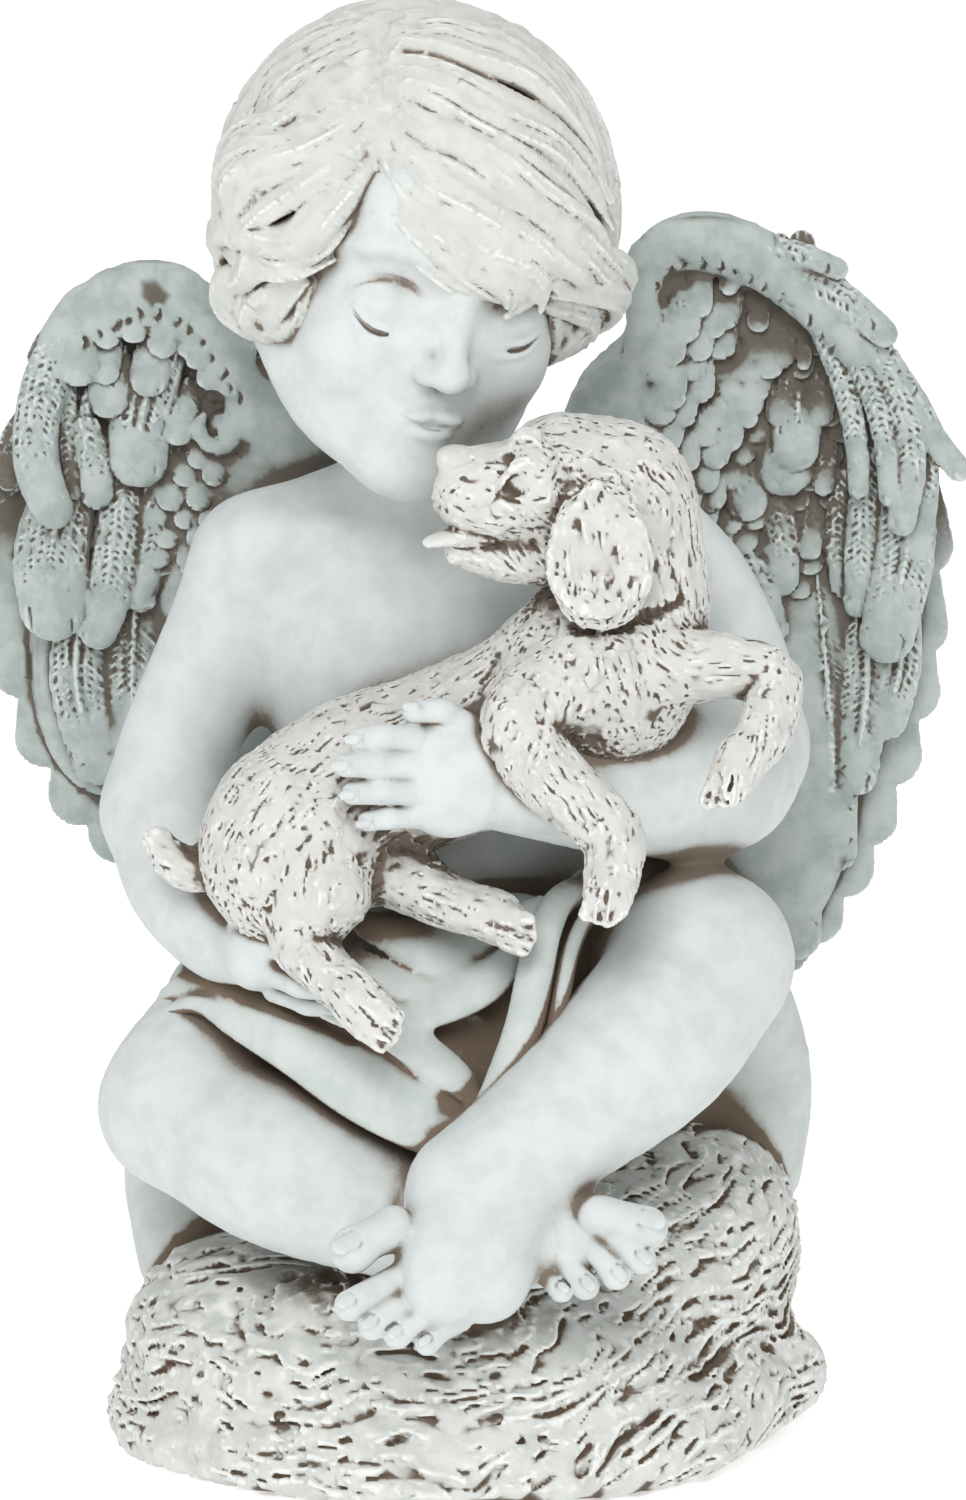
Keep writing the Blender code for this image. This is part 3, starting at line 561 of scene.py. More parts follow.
def arms(clay):
    """The right arm holds the puppy's rump from below, the left one holds its body."""
    clay.limb([(-45, 6, 181), (-54, 4, 162), (-63, -2, 143), (-66, -8, 131)],
              [14.5, 13.3, 12.2, 11.8], blend=7)
    clay.limb([(-66, -8, 131), (-61, -22, 119), (-53, -35, 111), (-48, -43, 109)], [11.8, 12, 10.2, 7.8],
              blend=5)
    clay.mass((-44, -50, 109.5), (7.5, 7.5, 8), (0, 20, 40), blend=3)
    lower_hand = (((-44, -54, 112), (-38, -60.5, 112), (-32.5, -62, 111), 2.4, (0.1, -1, 0.5)),
                  ((-42, -53, 106), (-35.5, -60.5, 105), (-28.5, -61.5, 104), 2.7, (0.1, -1, 0.2)),
                  ((-41, -50, 101.5), (-34, -56, 100), (-28, -57, 99.5), 2.4, (0.1, -1, 0.2)),
                  ((-48, -49, 116), (-46.5, -56, 120), (-42.2, -59.5, 119.5), 2.5, (0, -1, 0.3)))
    fingers(clay, lower_hand)
    clay.limb([(32, 7, 187), (45, 6, 177), (54, 2, 160), (56, -9, 147)], [14, 13, 12.5, 13], blend=7)
    clay.limb([(54, -14, 144), (48, -29, 142), (27, -48, 143.5), (12, -58, 146), (3, -62, 147.5)],
              [15, 16.5, 13.4, 11, 9.6], blend=6)
    clay.mass((-5.5, -65.5, 148.6), (11, 5.6, 12.2), (0, 0, -8), blend=3.5)
    clay.limb([(3.5, -72, 157), (5.5, -72.5, 148), (4, -71, 139)], 0.5, blend=2.5, cut=True)
    upper_hand = (((-12, -67.0, 157.0), (-19, -68.8, 157.6), (-23.5, -67, 156.8), 2.75, (-0.3, -1, 0.2)),
                  ((-12, -67.6, 151.6), (-20, -69.6, 152.2), (-26, -67.2, 151.6), 2.85, (-0.3, -1, 0.1)),
                  ((-12, -67.4, 146.2), (-19, -69.2, 146.6), (-24.6, -67, 145.8), 2.7, (-0.3, -1, 0)),
                  ((-12, -66.4, 141.0), (-17.5, -68, 141.0), (-21.6, -66.4, 140.0), 2.4, (-0.3, -1, -0.1)),
                  ((-1, -65, 159), (-6.5, -67, 162.6), (-12.5, -67, 162.4), 2.6, (-0.1, -0.8, 0.8)))
    fingers(clay, upper_hand)
    clay.limb([(-15.4, -72.2, 159), (-14.6, -73, 151), (-14.8, -72.8, 144), (-13.5, -71, 138)], 0.5,
              blend=1.6, cut=True)


def legs(clay):
    """Crossed legs: the left shin lies over the right ankle."""
    clay.limb([(-24, 14, 86), (-42, -6, 85), (-57, -25, 78), (-62, -29, 73)], [24, 21.5, 17.5, 15.5], blend=8)
    clay.limb([(-61, -28, 71), (-42, -46, 65), (-22, -55, 58), (-4, -62, 53)], [15.5, 17.5, 14.5, 11],
              blend=7)
    clay.limb([(-4, -62, 53), (10, -68, 54), (20, -74, 55)], [11, 10.5, 8.5], blend=5)
    clay.limb([(22, 14, 90), (34, -16, 100), (46, -38, 106)], [24, 20.5, 17.5], blend=8)
    clay.limb([(48, -42, 106), (36, -56, 93), (16, -69, 78), (-1, -77, 67)], [17, 18.2, 14.5, 12], blend=7)
    clay.mass((47, -46, 108), (14, 13, 14), blend=6)
    clay.limb([(-1, -76, 64), (2, -80, 54), (3, -81, 48)], [12, 10.5, 7.5], blend=5)
    clay.limb([(-3, -80, 60), (-7, -86, 54), (-8, -89, 49)], [10.5, 9, 7.5], blend=4)
    clay.mass((-2, -84, 52), (10.5, 7.5, 9.5), (0, 30, 0), blend=6)
    toes(clay, (((24.5, -79, 61.5), (34.3, -83, 60.0), 4.5), ((27, -79, 58.5), (33.4, -85, 53.9), 3.1),
                ((22, -78.5, 56), (28.4, -84.5, 50.5), 3.0), ((16.5, -77.5, 53.5), (22.2, -83.5, 48.1), 2.9),
                ((12, -76, 50), (17.4, -81.5, 46.6), 2.5)))
    toes(clay, (((-16.5, -86, 60.5), (-24.4, -90.5, 57.4), 4.8), ((-13, -87.5, 52), (-25, -95.5, 47.2), 3.2),
                ((-11.5, -88.5, 47.5), (-20.5, -95.5, 43), 2.9),
                ((-7.5, -88.5, 44.5), (-15.5, -94.5, 40.8), 2.8), ((-3, -87, 42), (-9.6, -92.5, 38.6), 2.5)))


def toes(clay, rows):
    """Plump toes side by side: rows of root, tip and radius, with nails that face up and forward."""
    for root, tip, radius in rows:
        root, tip = np.asarray(root, float), np.asarray(tip, float)
        ahead = (tip - root) / np.linalg.norm(tip - root)
        neck = between(root, tip, 0.55) + (0, -0.5, 0.5)
        clay.limb([root, neck, tip], [radius, radius * 0.86, radius], blend=1.0)
        out = np.array((0, -0.8, 0.75))
        out = out - ahead * (ahead @ out)
        out /= np.linalg.norm(out)
        across = np.cross(ahead, out)
        bed = tip + ahead * radius * 0.35 + out * radius * 0.82
        wide, long = across * radius * 0.5, ahead * radius * 0.42
        rim = [bed + wide + long, bed + wide - long * 0.7, bed - long * 1.25, bed - wide - long * 0.7,
               bed - wide + long]
        clay.limb(rim, 0.55, blend=0.3, cut=True)
        plate = [bed - long * 0.5 + out * 0.1, bed + long * 0.8]
        clay.limb(plate, radius * 0.42, blend=0.2, flat=0.5, facing=out)


def child():
    """The child's bare skin: head, body, arms and legs."""
    clay = Clay("child", (-84, -106, 34), (72, 50, 304), 0.48)
    torso(clay)
    legs(clay)
    arms(clay)
    head_and_neck(clay)
    return clay


def hair():
    """Wavy hair parted over the right brow: long combed locks, curled ends and a covered nape."""
    clay = Clay("hair", (-70, -68, 190), (50, 46, 306), 0.42)
    clay.local(HEAD_PLACE, HEAD)
    clay.mass((1, 11, 12.5), (34.5, 35.5, 33.2), blend=2)
    clay.world()
    seam = [on_scalp(-110, 72, -3), on_scalp(-72, 60, -3), on_scalp(-50, 46, -3), on_scalp(-41, 34, -2),
            on_scalp(-38, 28, -1.5)]
    clay.limb(seam, [5, 5.5, 5.5, 5.5, 5.5], blend=2)
    number = 0
    for group in (RIGHT_LOCKS, LEFT_LOCKS):
        paths = [even_steps(path, 9) for path in group]
        for first, last in zip(paths, paths[1:] + paths[-1:]):
            for share in ((0, 0.5) if last is not first else (0,)):
                path = between(first, last, share)
                path[:, 2] += (1.2 if share else 0) - 4.4 * smoothstep(0, 32, path[:, 1])
                wave = 3.2 * np.sin(np.linspace(0, 7, len(path)) + number) * np.linspace(0, 1, len(path))
                path[:, 1] += wave * 0.7
                lay_lock(clay, path, 4.6 if share == 0 else 3.6, number, 0.62)
                number += 1
    for path in CURLS:
        lay_lock(clay, even_steps(path, 7), 3.3, number, 0.6)
        number += 1
    for row in range(BACK_LOCKS):
        bearing = BACK_START + BACK_STEP * row
        path = [(bearing - 30, 87, -0.2), (bearing - 12, 72, 0.6), (bearing + 5, 52, 2),
                (bearing - 6, 28, 3.5), (bearing + 6, 5, 5), (bearing - 5, -15, 6), (bearing + 6, -33, 6),
                (bearing - 4, -46, 4.5)]
        lay_lock(clay, even_steps(path, 12), 5.0, row, 0.6)
    for index, (bearing, rise, lift, size, way) in enumerate(RINGLETS):
        ringlet(clay, bearing, rise, lift, size, way, index)
    part = [on_scalp(-120, 72, 4), on_scalp(-72, 60, 4), on_scalp(-50, 46, 4), on_scalp(-42, 36, 3.5)]
    clay.limb(part, [0.4, 0.9, 1.2, 0.5], blend=3.0, cut=True)
    return clay


def ringlet(clay, bearing, rise, lift, size, way, number):
    """A lock that curls in over the scalp round a shallow dip; its size is in degrees."""
    path = []
    for turn in np.linspace(0, 1, 9):
        angle = 1.2 + 0.6 * math.sin(number) + way * turn * 5.2
        reach = size * (1.05 - 0.5 * turn)
        sunk = 3.5 * turn ** 2 + 10 * max(0.0, 1 - turn / 0.35) ** 1.5
        path.append((bearing + 1.15 * reach * math.cos(angle), rise + reach * math.sin(angle), lift - sunk))
    lay_lock(clay, path, size * 0.27, number, 0.8)
    clay.mass(on_scalp(bearing, rise, lift - 3.2), (size * 0.34, size * 0.34, size * 0.34), blend=2)


def even_steps(path, count):
    """A path resampled to that many points along a smooth curve."""
    line = smooth_line(path, 8)
    places = np.linspace(0, len(line) - 1, count)
    return np.column_stack([np.interp(places, np.arange(len(line)), column) for column in line.T])


def lay_lock(clay, path, width, number, flat):
    """A combed lock laid over the scalp along bearings, rises and lifts; it swells, then thins."""
    points = np.array([on_scalp(*place) for place in path])
    share = np.linspace(0, 1, len(path))
    widths = width * (0.62 + 0.45 * np.sin(math.pi * (0.1 + 0.8 * share)) - 0.5 * share ** 4)

    def strands(along, across, out, radius):
        sway = 0.7 * np.sin(along * 0.23 + number * 1.7)
        fine = np.cos((across + sway) * (TURN / 2.0) + number)
        fade = 0.6 + 0.4 * np.sin(along * 0.16 + number * 2.9)
        broad = np.cos((across + 0.4 * sway) * (TURN / 4.7) + number * 2.3)
        return 0.24 * fine * fade + 0.34 * broad + 0.2

    clay.limb(points, widths, blend=0.7, flat=flat, facing=points - on_head(SCALP_CENTRE),
              carve=strands, steps=3)


def left_wing():
    """The wing at the viewer's left, half hidden behind the arm."""
    clay = Clay("wing_left", (-112, 4, 92), (-14, 56, 250), 0.48)
    clay.mass((-72, 38, 200), (24, 5, 36), (0, -8, 0), blend=3)
    clay.mass((-76, 39, 165), (20, 4.5, 40), (0, 8, 0), blend=3)
    clay.mass((-44, 34, 190), (26, 6, 34), (0, 20, 0), blend=4)
    clay.mass((-32, 31, 190), (16, 8, 30), blend=8)
    clay.limb([(-17, 27, 182), (-26, 32, 187), (-40, 37, 192)], [9, 8, 6], blend=8)
    back_feathers(clay, -1, [(24, 204), (36, 212), (48, 220)], [(25, 164), (38, 158), (56, 164)],
                  5, 6.2, 41.5)
    clay.mass((-60, 36, 132), (20, 5, 26), blend=4)
    small_coverts(clay, (-69, 199), (20, 28), 3.5)
    back_feathers(clay, -1, [(56, 222), (80, 215), (92, 198)], [(50, 112), (66, 112), (80, 118), (92, 134),
                  (100, 160), (102, 190)], 9, 7.2, 41)
    back_feathers(clay, -1, [(40, 212), (64, 225), (84, 213)], [(46, 172), (66, 172), (90, 184)], 6, 6.8, 44)
    back_feathers(clay, -1, [(46, 221), (65, 230), (80, 223)], [(46, 200), (66, 203), (86, 206)],
                  6, 5.6, 45.5)
    for feather in LEFT_FEATHERS:
        plume(clay, *feather)
    for covert in LEFT_COVERTS:
        scallop(clay, *covert, 0.4, 0.4 if covert[2] > 4 else 0)
    ring = [(-54.2 + 4.6 * math.cos(a), 28.6 - 1.4 * math.sin(a * 0.5), 207.6 + 4.6 * math.sin(a))
            for a in np.linspace(2.6, 6.9, 9)]
    clay.limb(ring, [1.0, 1.6, 1.8, 1.9, 1.9, 1.8, 1.6, 1.3, 0.8], blend=1.0, steps=3)
    clay.mass((-54.6, 29.4, 208.2), (2.3, 2.0, 2.6), blend=1.0)
    clay.limb([(-14, 22, 178), (-26, 26, 190), (-38, 28, 203), (-46, 28.5, 211), (-52.5, 29, 221),
               (-58, 29.5, 231), (-67.5, 30, 236.6), (-76, 30, 235.4), (-83.4, 30, 231.6), (-88.6, 30, 226)],
              [10, 9, 6.5, 4.6, 4.6, 6.2, 7.0, 6.4, 5.6, 4.6], blend=3, flat=0.72, facing=(0, -1, 0.2))
    plume(clay, [(-84, 233, 0), (-90.6, 220, 0.8), (-93.8, 207, 2), (-93.1, 197.5, 3), (-90.3, 190.2, 3.5)],
          5.0, 29.4, 0.55, blend=1.2)
    nicks(clay, [(-84, 224), (-76, 229), (-68, 230.5), (-60, 227), (-54, 218), (-49, 211)], 2.6, 13)
    return clay


def right_wing():
    """The wing at the viewer's right, spread wider and taller."""
    clay = Clay("wing_right", (6, 4, 78), (114, 56, 262), 0.48)
    clay.mass((60, 39, 212), (27, 5, 34), (0, 14, 0), blend=3)
    clay.mass((43, 35, 230), (10, 5, 16), (0, -10, 0), blend=3)
    clay.mass((72, 39, 170), (24, 5, 46), (0, 4, 0), blend=3)
    clay.mass((42, 37, 186), (22, 6, 40), (0, -14, 0), blend=6)
    clay.mass((32, 31, 188), (16, 8, 32), blend=8)
    clay.limb([(17, 27, 182), (26, 32, 187), (40, 37, 192)], [9, 8, 6], blend=8)
    back_feathers(clay, 1, [(24, 208), (34, 218), (44, 228)], [(25, 162), (38, 154), (56, 158)],
                  5, 6.2, 43.0)
    clay.mass((62, 37, 125), (20, 5, 34), blend=4)
    small_coverts(clay, (61, 203), (25, 38), 3.6)
    back_feathers(clay, 1, [(50, 232), (74, 224), (90, 204)], [(54, 96), (66, 91), (78, 104), (88, 126),
                  (95, 150), (97, 180)], 10, 7.2, 41)
    back_feathers(clay, 1, [(38, 220), (58, 234), (80, 222)], [(46, 164), (70, 160), (92, 182)], 7, 6.8, 44)
    back_feathers(clay, 1, [(42, 232), (56, 240), (74, 231)], [(44, 200), (66, 203), (84, 208)], 6, 5.6, 45.5)
    for feather in RIGHT_FEATHERS:
        plume(clay, *feather)
    for covert in RIGHT_COVERTS:
        scallop(clay, *covert, 0.4, 0.45 if covert[2] > 5 else 0)
    clay.limb([(12, 22, 180), (20, 25, 194), (28, 27, 207), (33.4, 28, 215), (35, 28.5, 226),
               (35.2, 29.5, 236), (37.5, 30, 243.6), (45, 30.4, 247.0), (53, 30.4, 246.4), (61.2, 30, 243),
               (68.4, 29.5, 237.6), (75.4, 29, 231), (81.6, 28.6, 224)],
              [10, 8.5, 6, 3.8, 3.0, 3.8, 5.2, 6.2, 6.6, 6.4, 5.8, 5.2, 4.6], blend=3, flat=0.68,
              facing=(0, -1, 0.2))
    plume(clay, [(54, 247), (68, 245), (77, 241.5, 0.5)], 2.8, 27.8, 0.5, out=(0.3, -1, 0.5), blend=1.0)
    plume(clay, [(64, 242), (77, 236), (86.8, 228, 0.5)], 3.8, 27.5, 0.42, out=(0.3, -1, 0.5), blend=0.8)
    plume(clay, [(78, 231), (92, 215.5), (98, 205), (103.4, 198.4)], 3.2, 29, 0.45, out=(0.3, -1, 0.4),
          blend=0.6)
    plume(clay, [(84, 228), (93, 211), (95.6, 196), (94.5, 182)], 3.9, 29.5, 0.45, 0.8, blend=0.6)
    plume(clay, [(80, 230), (90, 214, 1), (93, 200, 2), (91.2, 187.5, 3)], 3.5, 28.8, 0.5, blend=0.5)
    plume(clay, [(77, 229), (84.5, 215, 1), (87.8, 202, 2), (88.2, 193, 2.5)], 2.5, 27.9, 0.6, blend=0.4)
    plume(clay, [(73, 229), (79, 215, 1), (81.6, 203, 2), (82.0, 194.5, 2.5)], 2.6, 28.8, 0.6, blend=0.4)
    nicks(clay, [(38, 236), (44, 241), (53, 240.4), (60, 237), (67, 232), (74, 225), (79, 216)], 2.6, 14)
    nicks(clay, [(62, 247), (74, 240), (86, 227), (96, 210)], 2.4, 7)
    return clay


def puppy():
    """The puppy: a round-headed pup with drooping ears, held across the chest."""
    clay = Clay("puppy", (-76, -92, 88), (74, -10, 226), 0.42)
    clay.limb([(-36, -44, 134), (-24, -43, 143), (-8, -44, 149), (10, -46, 157), (24, -46, 166)],
              [18.5, 18, 17.5, 18, 18.5], blend=6)
    clay.mass((-37, -51, 131), (19, 15, 20), (0, 20, 0), blend=4)
    clay.mass((24, -49, 166), (19, 17, 18), blend=5)
    clay.limb([(26, -46, 168), (32, -44, 180), (31, -44, 194)], [18, 16, 15], blend=5)
    clay.mass((26, -45, 202), (18.5, 16, 16.8), (0, -8, 0), blend=5)
    puppy_face(clay)
    puppy_legs(clay)
    clay.limb([(-49, -42, 134), (-55, -44, 126), (-61, -45, 127), (-65, -45, 132)],
              [5.5, 4.6, 4.2, 3], blend=2)
    clay.limb([(4, -62, 182), (16, -64, 180), (28, -62, 179), (42, -56, 183)], [0.4, 0.8, 1.0, 0.6],
              blend=2.5, cut=True)
    return clay


def puppy_face(clay):
    """Muzzle raised to the child's mouth, tongue out, eye, nose and the drooping ears."""
    clay.mass((17, -48, 207), (12, 13, 13.2), blend=4)
    clay.limb([(20, -50, 203), (8, -54, 204.5), (0, -56, 205)], [12.5, 10.3, 8.4], blend=4)
    clay.limb([(4, -55, 209.5), (-2, -57, 210.6)], [5.0, 3.8], blend=3)
    clay.mass((-4.6, -57, 212.3), (3.4, 4.4, 2.9), blend=1.0)
    for depth in (-60.4, -54.2):
        clay.mass((-7.4, depth, 211.8), (1.0, 1.1, 0.9), blend=0.5, cut=True)
    clay.limb([(12, -54, 192.5), (4, -56, 191.8), (-3, -57, 193.6)], [6.5, 4.0, 3.0], blend=2)
    clay.limb([(-7.5, -61, 198.6), (-3, -64, 196.6), (1, -65, 195.4), (4, -64.8, 194.8), (7, -63.8, 196.2)],
              [0.4, 0.8, 0.9, 1.1, 0.6], blend=0.6, cut=True)
    clay.limb([(2, -57, 197), (-4.5, -59.6, 196.8), (-8.6, -60.6, 196)], [3.0, 2.7, 2.0], blend=0.6, flat=0.6,
              facing=(0, -0.3, 1))
    clay.limb([(-7.9, -60, 208.8), (-8.2, -60, 205.8)], [0.5, 0.4], blend=0.6, cut=True)
    clay.mass((8.9, -64.4, 208.8), (4.6, 3.0, 3.6), (0, -20, 0), blend=2.2, cut=True)
    clay.mass((9.1, -60.8, 208.5), (2.9, 2.8, 2.5), blend=0.3)
    clay.limb([(5.4, -62.8, 208.4), (8.4, -63.8, 211.3), (12.4, -62.6, 210.4)], [0.7, 1.0, 0.8], blend=0.8)
    clay.limb([(6.6, -63.2, 208.8), (8.8, -64, 210.0), (11, -63, 209.4)], [0.5, 0.75, 0.5],
              blend=0.3, cut=True)
    clay.limb([(10.5, -59.5, 216), (12.8, -61.5, 211), (13, -62, 205.6)], [3.2, 3.2, 2.6], blend=4)
    ear = [(25, -62, 207), (24.8, -66, 199), (25, -67, 190), (25, -66, 185.5)]
    clay.limb(ear, [4.5, 9.0, 10.2, 7.2], blend=1.0, flat=0.28, facing=(0, -1, 0.05))
    clay.mass((24.5, -71.2, 193.5), (7.2, 3.4, 8.4), blend=1.8, cut=True)
    rim = [(24, -66, 208), (17, -67.6, 199), (15.6, -68.6, 191), (19, -69, 185.6), (25, -69.2, 183),
           (31, -68.6, 186), (34, -67.8, 191), (32, -66.6, 200)]
    clay.limb(rim, [1.2, 1.4, 1.5, 1.5, 1.5, 1.5, 1.4, 1.2], blend=1.4, steps=4)
    clay.limb([(30, -30, 207), (34, -25, 198), (35, -24, 187)], [7, 9, 4], blend=1.2, flat=0.3,
              facing=(0.3, 1, 0))


def puppy_legs(clay):
    """Hind legs hang over the lap, and one foreleg hooks over the child's left arm."""
    clay.limb([(-30, -60, 124), (-35, -61, 115), (-30, -66, 109), (-23.5, -71, 104.5)], [9, 6.8, 5.6, 5.4],
              blend=3)
    clay.limb([(-18, -50, 128), (-6, -56, 121.5), (4, -60, 119.5)], [8, 5.8, 5.2], blend=3)
    clay.limb([(22, -58, 169), (9, -66, 160), (15, -71, 150), (27, -75, 139.5), (27.5, -78, 132)],
              [10.5, 8.2, 7.4, 6.4, 5.6], blend=3)
    clay.limb([(36, -54, 169), (50, -56, 170), (60, -58, 167), (58, -66, 158), (53.5, -70, 153.5)],
              [8.5, 6.8, 6.0, 5.4, 5.2], blend=3)
    for heel, tip, across, radius in (((-24, -72, 104), (-18.6, -76, 100), (0.5, 0, 0.85), 5.6),
                                      ((3, -60, 119.2), (9, -64, 116.8), (0.2, 0, 1), 5.0),
                                      ((27.5, -79, 131.5), (26, -82.5, 126), (1, 0, 0.1), 5.4),
                                      ((53.5, -71, 153), (50.4, -74.5, 148.4), (0.9, 0, 0.4), 5.4)):
        paw(clay, *(np.asarray(p, float) for p in (heel, tip, across)), radius)


def paw(clay, heel, tip, across, radius):
    """A rounded paw with four toes, and grooves between them that run up its front."""
    across = across / np.linalg.norm(across)
    ahead = (tip - heel) / np.linalg.norm(tip - heel)
    front = np.cross(across, ahead)
    if front[1] > 0:
        front = -front
    clay.limb([heel, between(heel, tip, 0.5), tip], [radius * 0.9, radius * 0.96, radius * 0.8],
              blend=1.5, flat=0.8, facing=front)
    for place in (-0.66, -0.22, 0.22, 0.66):
        reach = 0.42 * (1 - place * place * 0.5) * radius
        toe = tip + across * place * radius * 0.9
        pad = [toe - ahead * radius * 0.4 + front * radius * 0.3, toe + ahead * reach + front * radius * 0.12]
        clay.limb(pad, [radius * 0.3, radius * 0.32], blend=0.6)
    for place in (-0.44, 0.0, 0.44):
        side = across * place * radius
        groove = [tip + side * 0.8 - ahead * radius * 0.4 + front * radius * 0.84,
                  tip + side + ahead * radius * 0.3 + front * radius * 0.62,
                  tip + side * 1.05 + ahead * radius * 0.85 + front * radius * 0.1]
        clay.limb(groove, [0.5, 0.95, 0.9], blend=0.4, cut=True)


def drapery():
    """Cloth over the lap and hips: rolled edges, and folds that run together at the left hip."""
    clay = Clay("drapery", (-84, -82, 16), (80, 62, 132), 0.5)
    clay.mass((-2, -12, 92), (44, 34, 22), (12, 0, 0), blend=6)
    clay.mass((-6, -40, 86), (27, 17, 15), (30, 0, 0), blend=8)
    clay.mass((-40, -12, 88), (26, 24, 20), (0, 8, 20), blend=8)
    clay.mass((6, -30, 104), (22, 14, 14), (30, 0, 0), blend=8)
    flap = [(-56, -28, 99), (-44, -43, 96), (-28, -53, 90.5), (-12, -62, 83)]
    clay.limb(flap, [6, 8.5, 8.5, 6], blend=4, flat=0.42, facing=(0.15, -1, 0.55), steps=5)
    for line, radii in (([(-12, -58, 92), (-4, -60, 89), (2, -59, 85)], [3.0, 5.0, 4.0]),
                        ([(-17, -54, 96), (-6, -55, 95), (5, -54, 91)], [2.4, 4.2, 4.4]),
                        ([(-8, -49, 104), (3, -50, 100), (8, -52, 94)], [1.8, 3.2, 3.6]),
                        ([(-16, -42, 109.5), (0, -43, 107), (10, -42, 109)], [1.6, 3.0, 2.0]),
                        ([(-20, -40, 118), (-4, -38, 118), (8, -38, 118)], [2.0, 3.2, 2.0]),
                        ([(-40, -47, 99), (-33, -51, 97.5), (-25, -55, 94)], [1.2, 2.2, 1.4])):
        clay.limb(line, radii, blend=3.0, cut=True)
    folds = (([(-30, -57, 98.5), (-20, -58, 96.3), (-11, -60, 91.2), (-3, -63, 85.5), (0.5, -64, 81)],
              (1.6, 3.4, 3.6, 3.0, 1.6), (0.4, -1, 0.9)),
             ([(-24, -53, 97.0), (-11, -53.5, 98.4), (-2, -53.5, 101.4), (4, -52.5, 105), (10.2, -48, 111.5)],
              (1.8, 3.6, 3.8, 3.2, 1.8), (0.2, -1, 1.0)),
             ([(-22, -44, 114), (-11, -46, 110.6), (-2, -46.5, 108.2), (7, -45.5, 109), (12.5, -43, 115)],
              (2.6, 4.2, 4.2, 3.0, 1.6), (0.1, -1, 0.9)),
             ([(-9, -41, 113), (2, -42.5, 113.4), (8, -42, 114.8), (13.5, -41, 118)], (1.0, 2.2, 2.2, 1.4),
              (0.1, -1, 0.9)),
             ([(-24, -48, 108), (-17, -50, 104), (-8, -50, 103.4)], (1.6, 2.6, 1.4), (0.2, -1, 0.8)))
    for line, radii, out in folds:
        clay.limb(line, [radius * 1.25 for radius in radii], blend=3.2, flat=0.42, facing=out, steps=5)
    hem = [(-66, -16, 88), (-63, -24, 95), (-54, -34, 100.2), (-45, -44, 97), (-35, -52, 91),
           (-23, -58.5, 83.8), (-12, -64, 78.6), (-3, -67.5, 75.6)]
    clay.limb(hem, [1.8, 2.8, 3.6, 4.2, 4.4, 4.2, 4.0, 3.4], blend=2.0, flat=0.72, facing=(0.2, -1, 0.7),
              steps=5)
    edge = [(-68, -20, 84), (-64.5, -28, 91.5), (-56, -37, 95.8), (-48, -45, 93), (-38, -53, 86.8),
            (-26, -60.5, 79.6), (-13, -67, 74.2), (-4, -70, 72.4)]
    clay.limb(edge, [1.0, 1.4, 1.8, 2.1, 2.2, 2.2, 2.0, 1.8], blend=2.2, steps=5)
    clay.mass((-5, -60, 79.5), (5, 5, 4), blend=2)
    rising = [(-4, -67.5, 75), (3, -67, 80.5), (7.4, -65.5, 89.7), (10.2, -63, 98), (12.2, -58.5, 107),
              (14.2, -52, 114.4), (18, -44, 119.5), (26, -36, 121)]
    clay.limb(rising, [3.4, 3.9, 4.1, 4.0, 3.9, 3.6, 3.2, 2.8], blend=1.6, flat=0.75,
              facing=(-0.3, -1, 0.2), steps=5)
    beside = [(x + 5.6, y - 0.4, z - 3.6) for x, y, z in rising]
    clay.limb(beside, [1.4, 1.7, 1.9, 1.9, 1.9, 1.8, 1.8, 1.8], blend=0.8, steps=5)
    clay.limb([(24, -34, 119), (38, -24, 119), (50, -8, 112)], [5, 6, 6], blend=4)
    clay.limb([(40, 16, 104), (54, 20, 84), (61, 22, 66), (59, 20, 48)], [15, 14, 12, 12], blend=8)
    clay.limb([(-36, 22, 92), (-56, 20, 70), (-62, 18, 48), (-60, 12, 30)], [20, 16, 14, 13], blend=8)
    clay.mass((-3, 22, 64), (56, 34, 46), blend=10)
    for index in range(BACK_FOLDS):
        angle = math.radians(190 - 25 * index)
        drawn = angle + 0.12
        high = np.array((-2 + 42 * math.cos(angle), 22 + 20 * math.sin(angle), 104 - 4 * (index % 2)))
        low = np.array((-3 + 57 * math.cos(drawn), 23 + 29 * math.sin(drawn), 34 + 5 * (index % 3)))
        side = between(high, low, 0.5) + (5 * math.cos(angle), 6 * math.sin(angle), 0)
        clay.limb([high, side, low], [2.5, 4.5, 6.5], blend=8)
    return clay


def rock():
    """A low rock with a flat underside and layers that climb towards the viewer's right."""
    clay = Clay("rock", (-84, -84, -2), (82, 70, 76), 0.6)
    clay.mass((-2, 0, 8), (70, 62, 34), blend=6)
    clay.mass((-26, -14, 12), (48, 50, 28), (0, 12, 0), blend=8)
    clay.mass((30, 0, 26), (38, 50, 32), (0, -14, 0), blend=8)
    clay.mass((-4, -46, 15), (50, 30, 26), (-8, 0, 0), blend=8)
    clay.mass((50, 2, 40), (19, 32, 18), (0, -20, 0), blend=8)
    clay.mass((-10, 28, 28), (52, 34, 32), blend=8)
    clay.limb([(-70, -20, 4), (-62, -42, 4), (-30, -66, 4), (8, -70, 5), (44, -54, 8), (66, -16, 12)],
              [8, 9, 9, 9, 9, 8], blend=8)
    return clay


